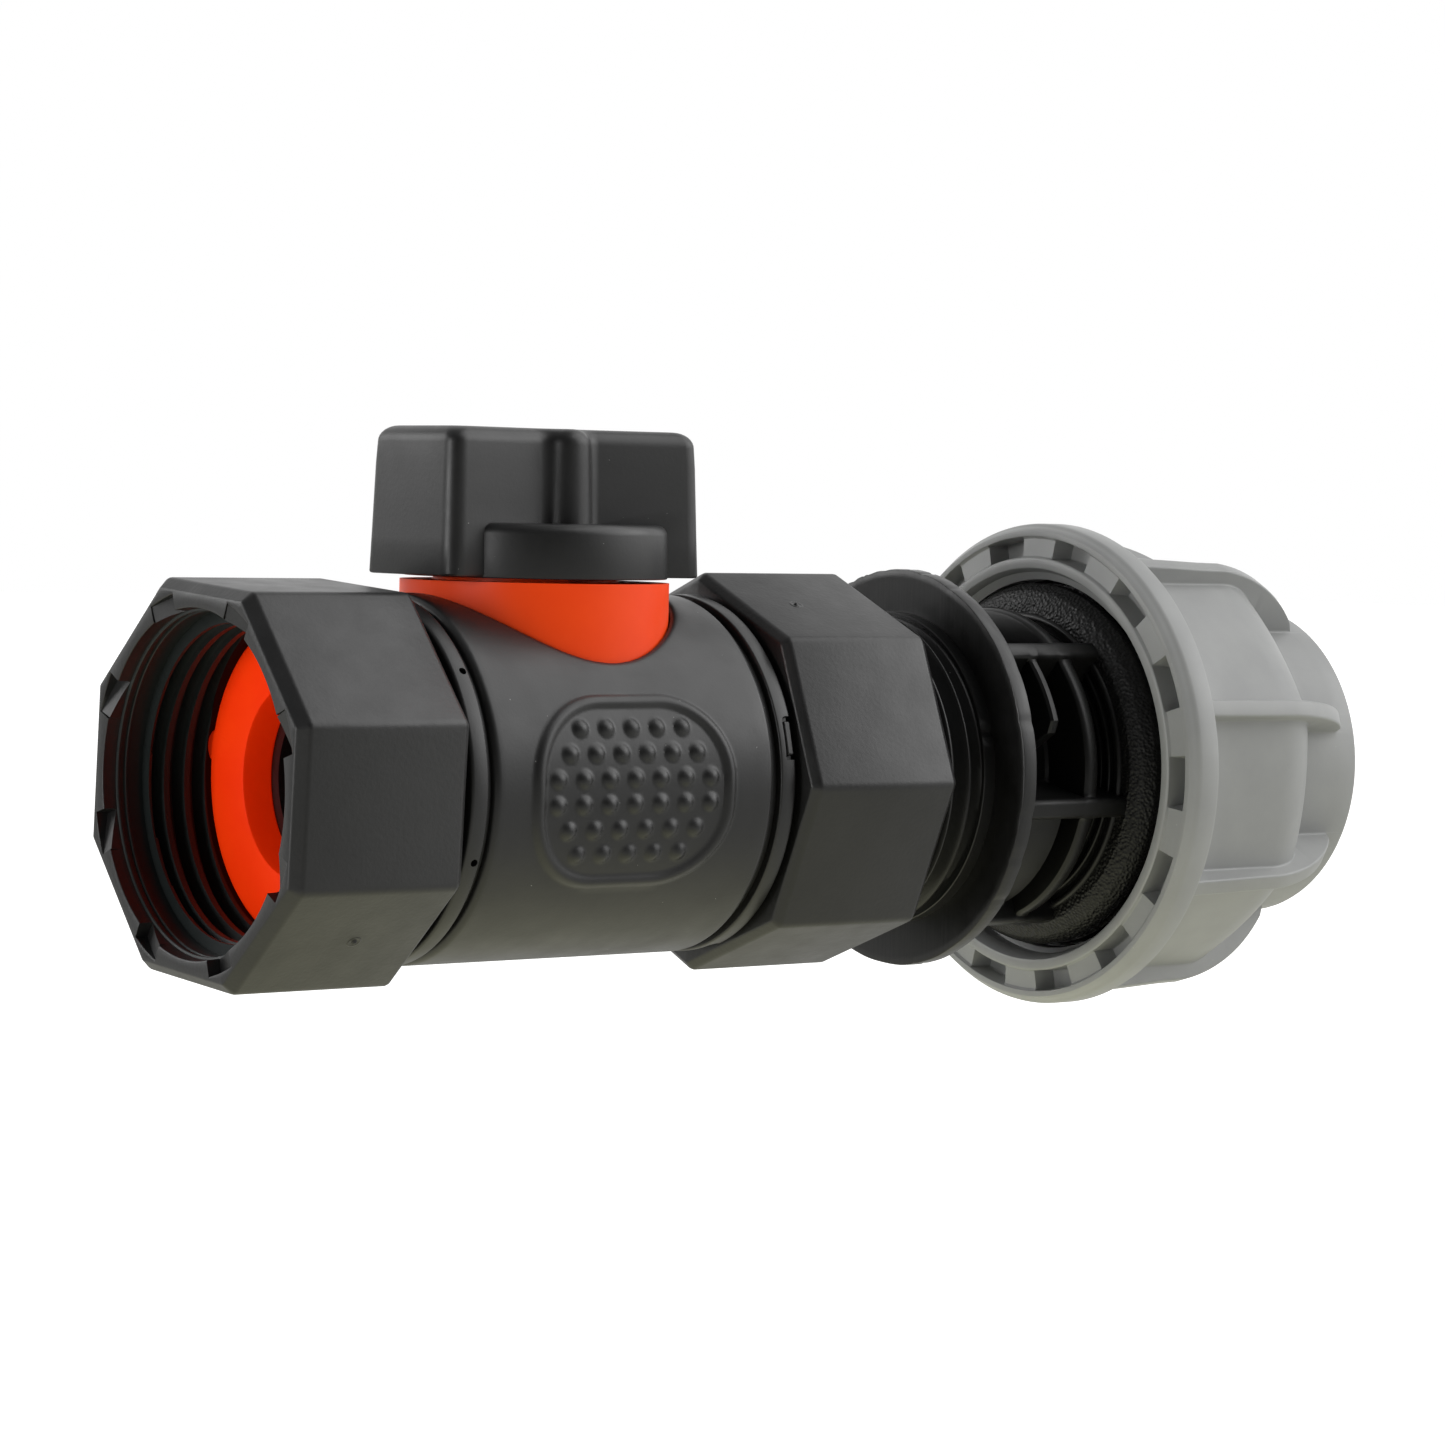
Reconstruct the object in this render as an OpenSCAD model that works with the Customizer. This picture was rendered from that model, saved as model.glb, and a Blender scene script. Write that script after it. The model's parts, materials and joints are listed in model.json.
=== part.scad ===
// In-line plastic ball valve with a swivel nut at each end and a pipe compression adapter.
// X runs along the pipe, with the open inlet nut at -X and the compression nut at +X.
// Z runs up the stem to the handle. The origin is on the pipe axis, where the inlet thread starts.

/* [Threads and pipe] */
// Crest radius of the 3/4 inch female thread in both swivel nuts
thread_minor_r = 12.06; // [11.9:0.01:12.2]
// Outside radius of the matching male thread on the adapter
thread_major_r = 13.1; // [12.9:0.05:13.25]
// Outside radius of the plastic pipe that the compression end takes
pipe_r = 10; // [9.6:0.1:10]
// Radius of the water passage through the open valve
water_r = 6.5; // [5:0.1:6.5]

/* [Swivel nuts] */
// Width of the octagon across its flats
nut_flats = 30; // [29:0.5:31]
// Length of a swivel nut along the pipe
nut_length = 15; // [15:0.1:15.8]
// Turn of the inlet nut's corners about the pipe, in degrees
inlet_nut_turn = 26; // [0:1:44]
// Turn of the outlet nut's corners about the pipe, in degrees
outlet_nut_turn = 1; // [0:1:44]
// Depth of the plain mouth before the thread starts
mouth_depth = 1.8; // [1.6:0.1:1.8]

/* [Valve body] */
// Half length of the core, measured from the stem axis
core_half = 13.85; // [13.85:0.05:15]
// Outside radius of the round barrel
barrel_r = 14.4; // [14.2:0.1:14.6]
// Outside radius of the round stem boss
boss_r = 10.6; // [10.4:0.05:10.8]
// Height of the boss above the pipe axis
boss_top = 15.4; // [15.3:0.05:15.5]
// Radius of the ball
ball_r = 9.4; // [9.2:0.1:9.4]

/* [Handle] */
// Length of the handle bar
handle_length = 24; // [22:0.5:26]
// Width of the bar at its two ends
handle_width = 12.3; // [11:0.1:13]
// Width of the bar at its waist
handle_waist = 8.2; // [7.6:0.1:9]
// Height of the top of the handle above the pipe axis
handle_top = 27.3; // [26:0.1:29]
// Radius of the round hub under the bar
hub_r = 10.5; // [10:0.1:10.8]

/* [Adapter] */
// Radius of the thin flange disc
flange_r = 16.65; // [16:0.05:17]
// Outside radius of the longitudinal ribs and of the ring rib
cage_r = 13.9; // [13.5:0.1:14.2]
// Number of longitudinal ribs
cage_ribs = 6; // [4:1:8]

/* [Compression nut] */
// Outside radius of the nut's open rim
rim_r = 20.65; // [20:0.05:21]
// Outside radius of the nut's body between its ribs
nut_body_r = 18.6; // [18.4:0.1:18.8]
// Outside radius of the nose that the pipe enters
nose_r = 13.55; // [13.4:0.05:13.8]
// Number of grip ribs
grip_ribs = 8; // [6:1:10]
// Number of moulded pockets round the open rim
rim_pockets = 14; // [10:1:16]

/* [Hidden] */
$fn = 96;
eps = 0.01;

black = [0.06, 0.06, 0.065];
orange = [0.93, 0.30, 0.06];
grey = [0.62, 0.63, 0.62];
seal = [0.03, 0.03, 0.03];

// Swivel nut
octagon_r = nut_flats / 2 / cos(22.5);
nut_bevel = 0.8;
lead_in = 0.6;
mouth_r = 13.3;
pocket_r = 14.5;
pocket_floor_r = 12.6;
pocket_w = 3.5;
pocket_depth = 1.4;
thread_end = 6.7;
undercut_r = 13.3;
nut_wall = 1.85;
tail_hole_r = 9.9;

// Valve body, as distances from the stem axis along the pipe
core_r = 12.9;
core_rim_r = 13.6;
core_rim = 0.6;
core_bore_r = 9.7;
sleeve_half = core_half - core_rim;
collar_half = core_half + 1.5;
stem_x = nut_length - mouth_depth + 0.6 + collar_half;
tail_r = 9.6;
tail_flange_r = 11.9;
tail_inner = 7.4;
tail_flange_inner = collar_half + 0.6 + nut_wall + 0.15;
tail_outer = tail_flange_inner + 1.3;
seat_inner = 4.55;
seat_outer = 7.35;
ring_groove_x = 10.6;
ring_groove_w = 1.6;
tail_ring_r = 8.98;
tail_ring_section = 0.66;
washer_r = 12.4;
washer_bore_r = 7.4;
washer_len = 2.7;
nub_r = 0.8;
outlet_mouth = 2 * stem_x + mouth_depth;

// Thumb pad on each side of the barrel, with one number of bumps for each row
pad_half_x = 9.35;
pad_half_z = 7.2;
pad_corner = 4.5;
bead_w = 0.9;
bead_h = 0.35;
bump_r = 0.55;
bump_h = 0.4;
bump_pitch_x = 2.4;
bump_pitch_z = 1.93;
PAD_ROWS = [5, 6, 7, 7, 6, 5];

// Stem
stem_r = 4.5;
stem_bore_r = 4.55;
shoulder_r = 5.5;
shoulder_pocket_r = 5.8;
shoulder_z = 9.75;
ceiling_z = 11.2;
neck_r = 6.6;
neck_top = 17.6;
stop_top = 16.9;
stop_r = 8;
stop_play = 0.5;
lug_turn = 30;
tongue_z = 7.2;
tongue_t = 3;
tongue_r = 4.4;
square = 6;
square_top = 24;
socket_gap = 0.05;
stem_ring_r = 3.91;
stem_ring_section = 0.61;
stem_groove_w = 1.5;
STEM_GROOVES = [13.2, 15.6];

// Handle
hub_bottom = 15.7;
hub_top = 19.9;
bar_bottom = 15.8;
hub_cavity_r = 8.4;
hub_cavity_top = 17.9;
column_r = 2.1;
bar_corner_r = 1;

// Adapter stations along the pipe
spigot_x = stem_x + tail_outer + washer_len + 0.05;
thread_x = spigot_x + 8.3;
collar_x = spigot_x + 13.95;
flange_x = spigot_x + 15.15;
cage_x = spigot_x + 16.55;
half_rib_x = spigot_x + 21.35;
half_rib_t = 1.1;
mark_pad_x = spigot_x + 23.65;
mark_pad_r = 12.3;
ring_rib_x = spigot_x + 24.85;
ring_rib_t = 1.3;
shoulder_x = spigot_x + 29.05;
shoulder_end = spigot_x + 30.75;
socket_x = spigot_x + 30.05;
socket_end = socket_x + 4.6;
adapter_end = socket_end + 3.2;
thread_root_r = 11.9;
collar_r = 13.07;
water_tube_r = 8.6;
shoulder_front_r = 13.94;
screw_r = 15.6;
socket_r = pipe_r + 0.15;
ring_seat_r = 13.2;
cage_turn = 42;
cage_rib_t = 1.7;
ring_x = socket_end + 1.5;
ring_r = 11.66;
ring_section = 1.46;
thrust_r = 14.6;
thrust_bore_r = pipe_r + 0.3;

// Compression end stations along the pipe
rim_x = shoulder_x + 0.9;
rim_end = rim_x + 3.2;
lip_r = 16.3;
lip_outer_r = 17.75;
channel_r = 19.45;
channel_depth = 2.2;
pocket_turn = 1.5;
body_end = rim_x + 13.5;
shoulder_arc_r = 5.7;
nose_end = rim_x + 26.4;
nose_hole_r = 10.6;
cone_x = rim_x + 13.8;
cone_end = cone_x + 6.2;
cone_r = 14.55;
cone_end_r = 12.05;
rim_bevel = 0.9;
rib_turn = 28.4;
rib_t = 1.45;
rib_start_r = 20.05;
rib_bend_r = 21.5;
rib_bend_back = 4;
rib_bend_drop = 1.5;
grip_x = cone_x + 0.1;
grip_length = 6;
tooth_height = 0.5;
tooth_pitch = 1.6;
split_turn = 16;

// Tube along the pipe, from one station to another
module tube_x(from, to, outer_r, inner_r) {
    translate([from, 0, 0])
    rotate([0, 90, 0])
    difference() {
        cylinder(h = to - from, r = outer_r);
        translate([0, 0, -eps])
        cylinder(h = to - from + 2 * eps, r = inner_r);
    }
}

// Solid round bar along the pipe
module bar_x(from, to, r) {
    translate([from, 0, 0])
    rotate([0, 90, 0])
    cylinder(h = to - from, r = r);
}

// Cone along the pipe
module cone_along_x(from, to, r_from, r_to) {
    translate([from, 0, 0])
    rotate([0, 90, 0])
    cylinder(h = to - from, r1 = r_from, r2 = r_to);
}

// Round ring of circular section about the pipe
module o_ring_x(x, r, section) {
    translate([x, 0, 0])
    rotate([0, 90, 0])
    rotate_extrude()
    translate([r, 0])
    circle(r = section);
}

// The same shape at the other end of the valve body
module other_end() {
    translate([2 * stem_x, 0, 0])
    mirror([1, 0, 0])
    children();
}

// Octagon bar along the pipe with a corner at the top
module octagon_x(from, to, r_from, r_to) {
    translate([from, 0, 0])
    rotate([0, 90, 0])
    cylinder(h = to - from, r1 = r_from, r2 = r_to, $fn = 8);
}

// Octagon blank with a bevel round each end
module nut_blank(from, to) {
    octagon_x(from, from + nut_bevel, octagon_r - nut_bevel, octagon_r);
    octagon_x(from + nut_bevel, to - nut_bevel, octagon_r, octagon_r);
    octagon_x(to - nut_bevel, to, octagon_r, octagon_r - nut_bevel);
}

// Inside of a swivel nut, from its mouth at -X to the wall that holds the tailpiece's flange
module nut_hollow() {
    bar_x(-mouth_depth - eps, -lead_in, mouth_r);
    cone_along_x(-lead_in - eps, 0, mouth_r, thread_minor_r);
    bar_x(-eps, thread_end + eps, thread_minor_r);
    bar_x(thread_end, nut_length - mouth_depth - nut_wall, undercut_r);
    bar_x(thread_end, nut_length, tail_hole_r);
}

// Eight small pockets in the mouth, one behind each corner
module mouth_pockets() {
    for (k = [0 : 7])
        rotate([45 * k, 0, 0])
        translate([-mouth_depth - eps, -pocket_w / 2, pocket_floor_r])
        cube([pocket_depth + eps, pocket_w, pocket_r - pocket_floor_r]);
}

module inlet_nut() {
    color(black)
    rotate([inlet_nut_turn, 0, 0])
    difference() {
        nut_blank(-mouth_depth, nut_length - mouth_depth);
        nut_hollow();
        mouth_pockets();
    }
}

module outlet_nut() {
    color(black)
    rotate([outlet_nut_turn, 0, 0])
    difference() {
        nut_blank(outlet_mouth - nut_length, outlet_mouth);
        other_end() nut_hollow();
        other_end() mouth_pockets();
    }
}

// Moulded core with the ball chamber and the stem boss
module valve_core() {
    color(orange)
    difference() {
        union() {
            bar_x(stem_x - core_half, stem_x + core_half, core_r);
            bar_x(stem_x - core_half, stem_x - sleeve_half, core_rim_r);
            bar_x(stem_x + sleeve_half, stem_x + core_half, core_rim_r);
            translate([stem_x, 0, 0]) {
                cylinder(h = boss_top, r = boss_r);
                cylinder(h = neck_top, r = neck_r);
                stop_sector();
            }
        }
        bar_x(stem_x - core_half - 1, stem_x + core_half + 1, core_bore_r);
        translate([stem_x, 0, 0]) {
            cylinder(h = ceiling_z, r = shoulder_pocket_r);
            cylinder(h = neck_top + 1, r = stem_bore_r);
        }
    }
}

// Ring sector on the boss that stops the handle at open and at closed
module stop_sector() {
    rotate([0, 0, lug_turn / 2 + stop_play])
    rotate_extrude(angle = 360 - 90 - lug_turn - 2 * stop_play)
    translate([neck_r - 0.5, boss_top - 0.5])
    square([stop_r - neck_r + 0.5, stop_top - boss_top + 0.5]);
}

// Flat outline with round corners
module rounded_box(half_x, half_z, corner_r) {
    SIGNS = [[1, 1], [-1, 1], [-1, -1], [1, -1]];
    polygon([for (q = [0 : 3])
                for (t = [90 * q : 10 : 90 * q + 90])
                    [SIGNS[q][0] * (half_x - corner_r) + corner_r * cos(t),
                     SIGNS[q][1] * (half_z - corner_r) + corner_r * sin(t)]]);
}

// Raised bead round the pad, on the -Y side
module pad_bead() {
    intersection() {
        tube_x(stem_x - sleeve_half, stem_x + sleeve_half, barrel_r + bead_h, barrel_r - 0.4);
        translate([stem_x, 0, 0])
        rotate([90, 0, 0])
        linear_extrude(height = barrel_r + 2)
        difference() {
            rounded_box(pad_half_x, pad_half_z, pad_corner);
            rounded_box(pad_half_x - bead_w, pad_half_z - bead_w, pad_corner - bead_w);
        }
    }
}

// Rows of bumps inside the bead, on the -Y side
module pad_bumps() {
    for (row = [0 : 5])
        for (i = [0 : PAD_ROWS[row] - 1]) {
            x = (i - (PAD_ROWS[row] - 1) / 2) * bump_pitch_x;
            turn = asin((2.5 - row) * bump_pitch_z / barrel_r);
            rotate([90 - turn, 0, 0])
            translate([stem_x + x, 0, barrel_r - 0.5])
            cylinder(h = 0.5 + bump_h, r = bump_r, $fn = 24);
        }
}

module barrel_sleeve() {
    color(black)
    difference() {
        union() {
            tube_x(stem_x - sleeve_half, stem_x + sleeve_half, barrel_r, core_r);
            for (side = [0, 1])
                mirror([0, side, 0]) {
                    pad_bead();
                    pad_bumps();
                }
        }
        translate([stem_x, 0, 0])
        cylinder(h = barrel_r + 2, r = boss_r + 0.15);
    }
}

// Ring that closes one end of the core round the tailpiece
module end_collar() {
    tube_x(stem_x - collar_half, stem_x - core_half, barrel_r, tail_r);
}

module inlet_collar() {
    color(black)
    difference() {
        end_collar();
        for (k = [0 : 5])
            rotate([52 + 60 * k, 0, 0])
            translate([stem_x - collar_half + 1, 0, barrel_r - 0.6])
            cylinder(h = 1, r = 0.35, $fn = 16);
    }
}

module outlet_collar() {
    color(black)
    difference() {
        other_end() end_collar();
        for (k = [0 : 3])
            rotate([75.5 + 90 * k, 0, 0])
            translate([stem_x + collar_half - 0.9, -1.7, barrel_r - 0.9])
            cube([1, 3.4, 2]);
    }
}

// Tube that carries a seat at one end and the swivel nut at the other
module tailpiece() {
    difference() {
        union() {
            bar_x(stem_x - tail_flange_inner, stem_x - tail_inner, tail_r);
            bar_x(stem_x - tail_outer, stem_x - tail_flange_inner, tail_flange_r);
        }
        bar_x(0, stem_x, water_r);
        tube_x(stem_x - ring_groove_x - ring_groove_w / 2,
               stem_x - ring_groove_x + ring_groove_w / 2, tail_r + 1, tail_r - 1.3);
    }
}

module inlet_tailpiece() {
    color(black)
    tailpiece();
}

module outlet_tailpiece() {
    color(black)
    other_end() tailpiece();
}

module inlet_tail_o_ring() {
    color(seal)
    o_ring_x(stem_x - ring_groove_x, tail_ring_r, tail_ring_section);
}

module outlet_tail_o_ring() {
    color(seal)
    o_ring_x(stem_x + ring_groove_x, tail_ring_r, tail_ring_section);
}

// Ring that the ball turns against
module seat() {
    difference() {
        tube_x(stem_x - seat_outer, stem_x - seat_inner, tail_r + 0.05, water_r + 0.1);
        translate([stem_x, 0, 0])
        sphere(r = ball_r + 0.1);
    }
}

module inlet_seat() {
    color("white")
    seat();
}

module outlet_seat() {
    color("white")
    other_end() seat();
}

// Flat sealing washer with three small nubs that hold it in the nut's thread
module washer() {
    face = stem_x - tail_outer - washer_len;
    difference() {
        union() {
            bar_x(face, face + washer_len, washer_r);
            for (k = [0 : 2])
                rotate([40 + 120 * k, 0, 0])
                translate([face + 0.6, 0, washer_r - 0.3])
                rotate([0, 90, 0])
                cylinder(h = 1.4, r = nub_r, $fn = 32);
        }
        bar_x(face - 1, face + washer_len + 1, washer_bore_r);
    }
}

module inlet_washer() {
    color(orange)
    washer();
}

module outlet_washer() {
    color(orange)
    other_end() washer();
}

module ball() {
    color("gainsboro")
    translate([stem_x, 0, 0])
    difference() {
        sphere(r = ball_r);
        translate([-ball_r, 0, 0])
        rotate([0, 90, 0])
        cylinder(h = 2 * ball_r, r = water_r);
        translate([-tongue_t / 2 - 0.1, -ball_r, tongue_z - 0.1])
        cube([tongue_t + 0.2, 2 * ball_r, ball_r]);
    }
}

module stem() {
    color(black)
    translate([stem_x, 0, 0])
    difference() {
        union() {
            intersection() {
                translate([-tongue_t / 2, -stem_r, tongue_z])
                cube([tongue_t, 2 * stem_r, shoulder_z - tongue_z]);
                cylinder(h = shoulder_z, r = tongue_r);
            }
            translate([0, 0, shoulder_z])
            cylinder(h = ceiling_z - 0.1 - shoulder_z, r = shoulder_r);
            translate([0, 0, shoulder_z])
            cylinder(h = neck_top - shoulder_z, r = stem_r);
            translate([-square / 2, -square / 2, neck_top])
            cube([square, square, square_top - neck_top]);
        }
        for (z = STEM_GROOVES)
            translate([0, 0, z - stem_groove_w / 2])
            difference() {
                cylinder(h = stem_groove_w, r = stem_r + 1);
                translate([0, 0, -eps])
                cylinder(h = stem_groove_w + 2 * eps, r = stem_ring_r - stem_ring_section);
            }
    }
}

// Ring in one of the stem's two grooves
module stem_o_ring(z) {
    color(seal)
    translate([stem_x, 0, z])
    rotate_extrude()
    translate([stem_ring_r, 0])
    circle(r = stem_ring_section, $fn = 32);
}

module stem_o_ring_lower() {
    stem_o_ring(STEM_GROOVES[0]);
}

module stem_o_ring_upper() {
    stem_o_ring(STEM_GROOVES[1]);
}

// Outline of the waisted bar, with round corners and a half-round column on each side
module bar_outline() {
    end_x = handle_length / 2;
    waist_y = handle_waist / 2;
    slope = atan((handle_width / 2 - waist_y) / end_x);
    corner_x = end_x - bar_corner_r;
    corner_y = waist_y + corner_x * tan(slope) - bar_corner_r / cos(slope);
    QUARTER = concat([for (t = [0 : 18 : 90])
                         [corner_x + bar_corner_r * cos(t), corner_y + bar_corner_r * sin(t)]],
                     [[0, waist_y]]);
    LAST = len(QUARTER) - 1;
    HALF = concat(QUARTER, [for (i = [LAST - 1 : -1 : 0]) [-QUARTER[i][0], QUARTER[i][1]]]);
    polygon(concat(HALF, [for (i = [len(HALF) - 1 : -1 : 0]) [HALF[i][0], -HALF[i][1]]]));
    for (side = [-1, 1])
        translate([0, side * waist_y])
        circle(r = column_r);
}

module handle() {
    color(black)
    translate([stem_x, 0, 0])
    difference() {
        union() {
            translate([0, 0, bar_bottom])
            linear_extrude(height = handle_top - bar_bottom)
            bar_outline();
            translate([0, 0, hub_bottom])
            cylinder(h = hub_top - hub_bottom, r = hub_r);
        }
        difference() {
            translate([0, 0, hub_bottom - 1])
            cylinder(h = hub_cavity_top - hub_bottom + 1, r = hub_cavity_r);
            stop_lug();
        }
        translate([-square / 2 - socket_gap, -square / 2 - socket_gap, hub_bottom - 1])
        cube([square + 2 * socket_gap, square + 2 * socket_gap, square_top + 1.2 - hub_bottom]);
    }
}

// Lug inside the hub that meets the two ends of the boss's stop sector
module stop_lug() {
    rotate([0, 0, -lug_turn / 2])
    rotate_extrude(angle = lug_turn)
    translate([neck_r + 0.3, hub_bottom - 2])
    square([hub_cavity_r - neck_r, hub_cavity_top - hub_bottom + 3]);
}

// Ring rib between two turns about the pipe
module rib_arc(x, thickness, inner_r, outer_r, from_turn, to_turn) {
    translate([x, 0, 0])
    rotate([0, 90, 0])
    rotate([0, 0, 180 + from_turn])
    rotate_extrude(angle = to_turn - from_turn)
    translate([inner_r, 0])
    square([outer_r - inner_r, thickness]);
}

// Outside of the adapter, from its threaded spigot to the end of its compression screw
module adapter_outside() {
    bar_x(spigot_x, thread_x, thread_root_r);
    bar_x(thread_x, collar_x, thread_major_r);
    bar_x(collar_x, flange_x, collar_r);
    bar_x(flange_x, cage_x, flange_r);
    bar_x(cage_x, shoulder_x, water_tube_r);
    tube_x(ring_rib_x, ring_rib_x + ring_rib_t, cage_r, water_tube_r - 0.5);
    rib_arc(half_rib_x, half_rib_t, water_tube_r - 0.5, cage_r, cage_turn, cage_turn + 33);
    rib_arc(cage_x, mark_pad_x - cage_x, water_tube_r - 0.5, mark_pad_r,
            cage_turn + 60, cage_turn + 120);
    for (k = [0 : cage_ribs - 1])
        rotate([cage_turn + 360 / cage_ribs * k, 0, 0])
        translate([cage_x, -cage_rib_t / 2, water_r + 1])
        cube([shoulder_x - cage_x, cage_rib_t, cage_r - water_r - 1]);
    cone_along_x(shoulder_x, shoulder_end, shoulder_front_r, screw_r);
    bar_x(shoulder_end, adapter_end, screw_r);
}

module adapter_body() {
    color(black)
    difference() {
        adapter_outside();
        bar_x(spigot_x - 1, socket_x + 1, water_r);
        bar_x(socket_x, adapter_end, socket_r);
        bar_x(socket_end, adapter_end + 1, ring_seat_r);
    }
}

module pipe_o_ring() {
    color(seal)
    o_ring_x(ring_x, ring_r, ring_section);
}

// Plain ring that presses the seal home when the nut is tightened
module thrust_ring() {
    color(black)
    difference() {
        union() {
            bar_x(adapter_end - 0.2, adapter_end + 0.2, ring_seat_r - 0.2);
            bar_x(adapter_end + 0.15, adapter_end + 2.6, thrust_r);
        }
        bar_x(adapter_end - 1, adapter_end + 4, thrust_bore_r);
    }
}

// Split conical ring whose teeth bite into the pipe
module grip_ring() {
    bore_r = pipe_r + 0.2 + tooth_height;
    teeth = [for (i = [2 : -1 : 0])
                for (p = [1, 0])
                    [bore_r - tooth_height * p, tooth_pitch * (i + 0.5 + 0.5 * p)]];
    color("white")
    translate([grip_x, 0, 0])
    rotate([0, 90, 0])
    rotate([0, 0, split_turn / 2])
    rotate_extrude(angle = 360 - split_turn)
    polygon(concat([[bore_r, 0], [cone_r - 0.15, 0], [cone_end_r - 0.15, grip_length],
                    [bore_r, grip_length]],
                   teeth));
}

// Outline of a grip rib, nearly level along the body and then bent down to the nose
module rib_outline() {
    polygon(concat(
        [[body_end, nose_r - 1], [rim_end - 1, nose_r - 1], [rim_end - 1, rib_start_r]],
        [for (t = [10.8 : 4 : 42.8])
            [body_end - rib_bend_back + rib_bend_r * sin(t), rib_bend_r * cos(t) - rib_bend_drop]],
        [[nose_end - 2, nose_r - 1]]));
}

// Outside of the compression nut, without its ribs
module nut_turning() {
    cone_along_x(rim_x, rim_x + rim_bevel, rim_r - 0.65, rim_r);
    bar_x(rim_x + rim_bevel, rim_end, rim_r);
    bar_x(rim_end, body_end, nut_body_r);
    translate([body_end, 0, 0])
    rotate([0, 90, 0])
    rotate_extrude()
    intersection() {
        translate([nut_body_r - shoulder_arc_r, 0])
        circle(r = shoulder_arc_r);
        square([nut_body_r, shoulder_arc_r]);
    }
    bar_x(body_end, nose_end, nose_r);
}

// Space inside the compression nut, with the cone that squeezes the grip ring
module nut_inside() {
    bar_x(rim_x - 1, cone_x - 0.8, lip_r);
    cone_along_x(cone_x - 0.8 - eps, cone_x, lip_r, cone_r);
    cone_along_x(cone_x - eps, cone_end, cone_r, cone_end_r);
    bar_x(cone_end - eps, nose_end + 1, nose_hole_r);
}

module compression_nut() {
    pocket = 360 / rim_pockets;
    color(grey)
    difference() {
        union() {
            nut_turning();
            for (k = [0 : grip_ribs - 1])
                rotate([rib_turn + 360 / grip_ribs * k, 0, 0])
                translate([0, rib_t / 2, 0])
                rotate([90, 0, 0])
                linear_extrude(height = rib_t)
                rib_outline();
        }
        nut_inside();
        tube_x(rim_x - 1, rim_x + 0.3, channel_r, lip_outer_r);
        for (k = [0 : rim_pockets - 1])
            rib_arc(rim_x - 1, channel_depth + 1, lip_outer_r + 0.05, channel_r - 0.05,
                    pocket_turn + pocket * (k + 0.25), pocket_turn + pocket * (k + 0.75));
    }
}

valve_core();
barrel_sleeve();
inlet_collar();
outlet_collar();
inlet_tailpiece();
outlet_tailpiece();
inlet_tail_o_ring();
outlet_tail_o_ring();
inlet_seat();
outlet_seat();
inlet_washer();
outlet_washer();
ball();
stem();
stem_o_ring_lower();
stem_o_ring_upper();
handle();
inlet_nut();
outlet_nut();
adapter_body();
pipe_o_ring();
thrust_ring();
grip_ring();
compression_nut();
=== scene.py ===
"""Looks of an in-line plastic ball valve with swivel nuts and a compression adapter.

Lengths are written in millimetres and turned into metres where a mesh is made. X runs along the pipe.
A turn about the pipe is an angle in degrees from +Z towards -Y, the side that the camera sees.
"""

import json
import math
import random

import bmesh
import bpy
import numpy as np
from mathutils import Matrix, Vector


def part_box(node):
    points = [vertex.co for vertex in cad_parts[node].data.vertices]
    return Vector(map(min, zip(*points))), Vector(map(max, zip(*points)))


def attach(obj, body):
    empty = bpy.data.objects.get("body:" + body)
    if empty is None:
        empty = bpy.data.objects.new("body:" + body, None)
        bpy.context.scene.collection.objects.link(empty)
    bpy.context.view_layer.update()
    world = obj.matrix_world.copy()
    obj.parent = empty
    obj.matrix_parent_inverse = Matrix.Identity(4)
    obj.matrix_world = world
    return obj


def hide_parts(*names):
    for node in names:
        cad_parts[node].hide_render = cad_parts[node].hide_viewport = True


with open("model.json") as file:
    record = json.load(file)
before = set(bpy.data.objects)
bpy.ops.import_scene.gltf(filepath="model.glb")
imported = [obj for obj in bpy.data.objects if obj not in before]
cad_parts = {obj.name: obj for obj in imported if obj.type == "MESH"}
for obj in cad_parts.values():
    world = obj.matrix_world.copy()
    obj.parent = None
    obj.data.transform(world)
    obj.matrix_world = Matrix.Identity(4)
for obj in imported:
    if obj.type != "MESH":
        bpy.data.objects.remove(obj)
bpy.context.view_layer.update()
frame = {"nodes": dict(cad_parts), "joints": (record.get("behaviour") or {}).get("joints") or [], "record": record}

MM = 0.001
SAME_POINT = 0.0002 * MM


# ---- measures taken from the frame

def low_mm(node):
    """Lowest corner of a CAD node, in millimetres."""
    return np.array(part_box(node)[0]) / MM


def high_mm(node):
    """Highest corner of a CAD node, in millimetres."""
    return np.array(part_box(node)[1]) / MM


MOUNTS = {m["name"]: m for m in frame["record"]["mounts"]}
JOINTS = {j["name"]: j for j in frame["joints"]}
THREAD_CREST = MOUNTS["inlet_thread"]["dims"]["r_mm"]
THREAD_ROOT = 13.2
THREAD_PITCH = 1.814
COARSE_PITCH = 3.0
COARSE_CREST = 15.85
COARSE_DEPTH = 0.5
STEM_X = JOINTS["handle_turn"]["pos_m"][0] / MM
INLET_MOUTH = low_mm("inlet_nut")[0]
OUTLET_MOUTH = high_mm("outlet_nut")[0]
NUT_LENGTH = high_mm("inlet_nut")[0] - INLET_MOUTH
BARREL_R = 14.4
SPIGOT_X = low_mm("adapter_body")[0]
ADAPTER_END = high_mm("adapter_body")[0]
RIM_X = low_mm("compression_nut")[0]
NOSE_END = high_mm("compression_nut")[0]
RIM_R = high_mm("compression_nut")[2]


# ---- mesh helpers

def polar(x, r, turns):
    """Points at station x and radius r, for each turn about the pipe; x and r may vary from point to point."""
    turns = np.asarray(turns, float)
    angle = np.radians(turns)
    x = np.broadcast_to(x, turns.shape)
    r = np.broadcast_to(r, turns.shape)
    return np.stack([x, -r * np.sin(angle), r * np.cos(angle)], axis=1)


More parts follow.
